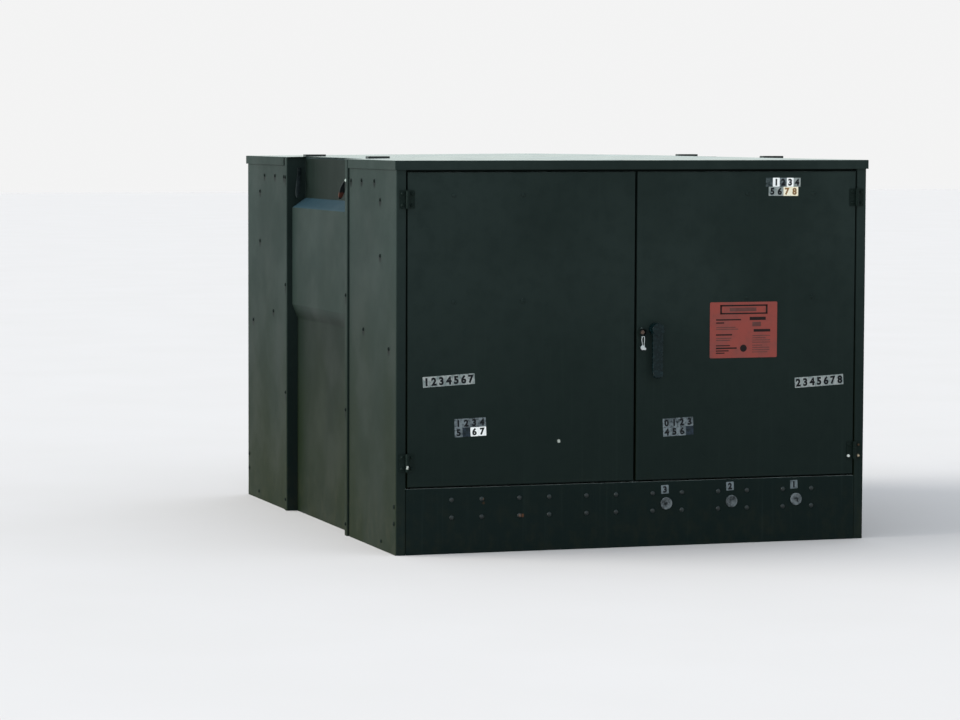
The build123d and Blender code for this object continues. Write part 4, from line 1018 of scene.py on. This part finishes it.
class CABINET_OT_notice_plate(bpy.types.Operator):
    """Coral vinyl plate with blank fields of colour"""

    bl_idname = "cabinet.notice_plate"
    bl_label = "Notice plate"

    def execute(self, context):
        sizes = context.scene.cabinet_sizes
        width, height = sizes.plate_width, sizes.plate_height
        # Lower left corner of the plate, from the lower left corner of the right door.
        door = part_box("front_right_door")[0]
        left, foot = door.x + 0.2685, door.z + 0.4130
        # Coral vinyl gone chalky in patches, with near black and faded brown ink.
        coral = context.scene.cabinet_colours.plate
        vinyl = aged_vinyl("coral_vinyl", coral, "#844540", "#5F3833", 0.15, 0.030)
        black = aged_vinyl("coral_field_ink", "#170E10", "#1E1213", "#3A2220", 0.2, 0.020)
        brown = aged_vinyl("coral_faint_ink", "#5C3734", "#64403C", "#6B4440", 0.2, 0.020)
        plate = upright_sheet("notice_plate", (left + width / 2, FRONT - sizes.plate_thickness / 2,
                                               foot + height / 2),
                              width, height, sizes.plate_thickness, corner=0.004, segments=3)
        finish_piece(plate, "front_right_door", vinyl)
        # Blank bars in place of print: left, right, low and high edge as shares of the plate.
        dark = [
            (0.150, 0.856, 0.924, 0.952), (0.150, 0.856, 0.782, 0.808), (0.150, 0.176, 0.782, 0.952),
            (0.830, 0.856, 0.782, 0.952), (0.090, 0.460, 0.672, 0.696), (0.090, 0.210, 0.618, 0.640),
            (0.090, 0.330, 0.402, 0.428), (0.090, 0.300, 0.212, 0.230), (0.090, 0.400, 0.162, 0.188),
            (0.090, 0.280, 0.118, 0.138), (0.090, 0.220, 0.078, 0.098),
            (0.590, 0.830, 0.672, 0.730), (0.650, 0.900, 0.462, 0.510),
        ]
        pale = [
            (0.090, 0.380, 0.540, 0.556), (0.090, 0.420, 0.506, 0.522), (0.090, 0.320, 0.344, 0.362),
            (0.090, 0.300, 0.308, 0.326), (0.290, 0.690, 0.832, 0.900), (0.630, 0.760, 0.560, 0.640),
            (0.630, 0.900, 0.386, 0.402), (0.630, 0.830, 0.346, 0.362), (0.630, 0.900, 0.306, 0.322),
            (0.630, 0.900, 0.266, 0.282), (0.630, 0.780, 0.212, 0.228), (0.630, 0.890, 0.172, 0.188),
            (0.630, 0.890, 0.132, 0.148), (0.630, 0.860, 0.092, 0.106),
        ]
        face = FRONT - sizes.plate_thickness
        thin = sizes.print_thickness
        for name, ink, shares in (("notice_fields_dark", black, dark), ("notice_fields_pale", brown, pale)):
            prints = [
                upright_sheet(f"{name}_{i}", (left + width * (x0 + x1) / 2, face - thin / 2,
                                              foot + height * (z0 + z1) / 2),
                              width * (x1 - x0), height * (z1 - z0), thin, corner=0.0003)
                for i, (x0, x1, z0, z1) in enumerate(shares)]
            if ink == black:
                # One plain disc low in the middle, 25 mm across, its rim eased by 0.2 mm.
                radius = 0.0125
                rings = [(radius, 0), (radius, thin * 0.7), (radius - 0.0002, thin)]
                disc = turned_pattern("notice_disc", rings)
                seat = Matrix.Translation((left + width * 0.500, face, foot + height * 0.170))
                disc.data.transform(seat @ TO_FRONT)
                prints.append(disc)
            finish_piece(join(prints, name), "front_right_door", ink)
        return {"FINISHED"}


class CABINET_OT_studio(bpy.types.Operator):
    """Camera, floor and soft studio light"""

    bl_idname = "cabinet.studio"
    bl_label = "Studio"

    def execute(self, context):
        settings = context.scene.cabinet_studio
        scene = context.scene
        camera = bpy.data.objects.new("camera", bpy.data.cameras.new("camera"))
        scene.collection.objects.link(camera)
        camera.data.lens = settings.focal_length
        camera.data.sensor_width = 36
        camera.data.shift_x = settings.shift
        camera.data.clip_end = 200
        forward = Vector((math.sin(settings.yaw) * math.cos(settings.pitch),
                          math.cos(settings.yaw) * math.cos(settings.pitch), -math.sin(settings.pitch)))
        right = Vector((math.cos(settings.yaw), -math.sin(settings.yaw), 0))
        up = right.cross(forward)
        across = right * math.cos(settings.roll) + up * math.sin(settings.roll)
        above = up * math.cos(settings.roll) - right * math.sin(settings.roll)
        turn = Matrix((across, above, -forward)).transposed().to_4x4()
        camera.matrix_world = Matrix.Translation(Vector(settings.place)) @ turn
        scene.camera = camera

        # The floor is 120 m wide, so that its edge is lost in the backdrop, and 0.5 mm below the base.
        deselect()
        bpy.ops.mesh.primitive_plane_add(size=120, location=(0, 0, -0.0005))
        floor = active_piece("floor")
        # Matt painted floor: even and pale, with a slow change of tone and no gloss.
        material, tree, shader, place = blank_material("pale_studio_floor")
        pale = layer(tree, settings.floor, "#DAD0CE", pattern(tree, place, 0.8, detail=3))
        tree.links.new(pale, shader.inputs["Base Color"])
        shader.inputs["Roughness"].default_value = 0.9
        shader.inputs["Specular IOR Level"].default_value = 0.0
        floor.data.materials.append(material)

        world = bpy.data.worlds.new("studio")
        world.use_nodes = True
        scene.world = world
        tree = world.node_tree
        tree.nodes.clear()
        seen = add_node(tree, "ShaderNodeLightPath").outputs["Is Camera Ray"]
        backdrop = add_node(tree, "ShaderNodeBackground", {
            "Color": (*settings.backdrop, 1), "Strength": 1.0})
        upwards = add_node(tree, "ShaderNodeSeparateXYZ", {
            0: add_node(tree, "ShaderNodeTexCoord").outputs["Generated"]}).outputs["Z"]
        # The soft light grows stronger and cooler overhead.
        cool = add_node(tree, "ShaderNodeMix", {
            0: strength(tree, (upwards, 0.05, 0.75, 0.0, 1.0)), 6: (*settings.soft_low, 1),
            7: (*settings.soft_high, 1)}, data_type="RGBA").outputs[2]
        soft = add_node(tree, "ShaderNodeBackground", {"Color": cool, "Strength": settings.soft_light})
        both = add_node(tree, "ShaderNodeMixShader", {0: seen, 1: soft.outputs[0], 2: backdrop.outputs[0]})
        add_node(tree, "ShaderNodeOutputWorld", {"Surface": both.outputs[0]})

        key = bpy.data.lights.new("key_light", "SUN")
        key.energy = settings.key_light
        key.angle = settings.key_angle
        key.color = settings.key_colour
        lamp = bpy.data.objects.new("key_light", key)
        scene.collection.objects.link(lamp)
        way = Vector(settings.key_way).normalized()
        lamp.matrix_world = Matrix.Translation(way * 8) @ way.to_track_quat("Z", "Y").to_matrix().to_4x4()
        scene.view_settings.view_transform = "Standard"
        return {"FINISHED"}


class CABINET_PT_panel(bpy.types.Panel):
    """Steps of the cabinet, in their order"""

    bl_label = "Cabinet"
    bl_idname = "CABINET_PT_panel"
    bl_space_type = "VIEW_3D"
    bl_region_type = "UI"
    bl_category = "Cabinet"

    def draw(self, context):
        for operator in OPERATORS:
            self.layout.operator(operator.bl_idname)


OPERATORS = (
    CABINET_OT_finishes,
    CABINET_OT_bolt_heads,
    CABINET_OT_fault_indicators,
    CABINET_OT_wire_seal,
    CABINET_OT_bay_hooks,
    CABINET_OT_number_tiles,
    CABINET_OT_notice_plate,
    CABINET_OT_studio,
)
CLASSES = (CabinetColours, CabinetSizes, StudioSettings) + OPERATORS + (CABINET_PT_panel,)


def register():
    """Register the classes and their settings."""
    for item in CLASSES:
        bpy.utils.register_class(item)
    bpy.types.Scene.cabinet_colours = bpy.props.PointerProperty(type=CabinetColours)
    bpy.types.Scene.cabinet_sizes = bpy.props.PointerProperty(type=CabinetSizes)
    bpy.types.Scene.cabinet_studio = bpy.props.PointerProperty(type=StudioSettings)


def unregister():
    """Take the settings and the classes away again."""
    del bpy.types.Scene.cabinet_studio
    del bpy.types.Scene.cabinet_sizes
    del bpy.types.Scene.cabinet_colours
    for item in reversed(CLASSES):
        bpy.utils.unregister_class(item)


def main():
    """Build the whole scene."""
    register()
    bpy.ops.cabinet.finishes()
    bpy.ops.cabinet.bolt_heads()
    bpy.ops.cabinet.fault_indicators()
    bpy.ops.cabinet.wire_seal()
    bpy.ops.cabinet.bay_hooks()
    bpy.ops.cabinet.number_tiles()
    bpy.ops.cabinet.notice_plate()
    bpy.ops.cabinet.studio()


if __name__ == "__main__":
    main()
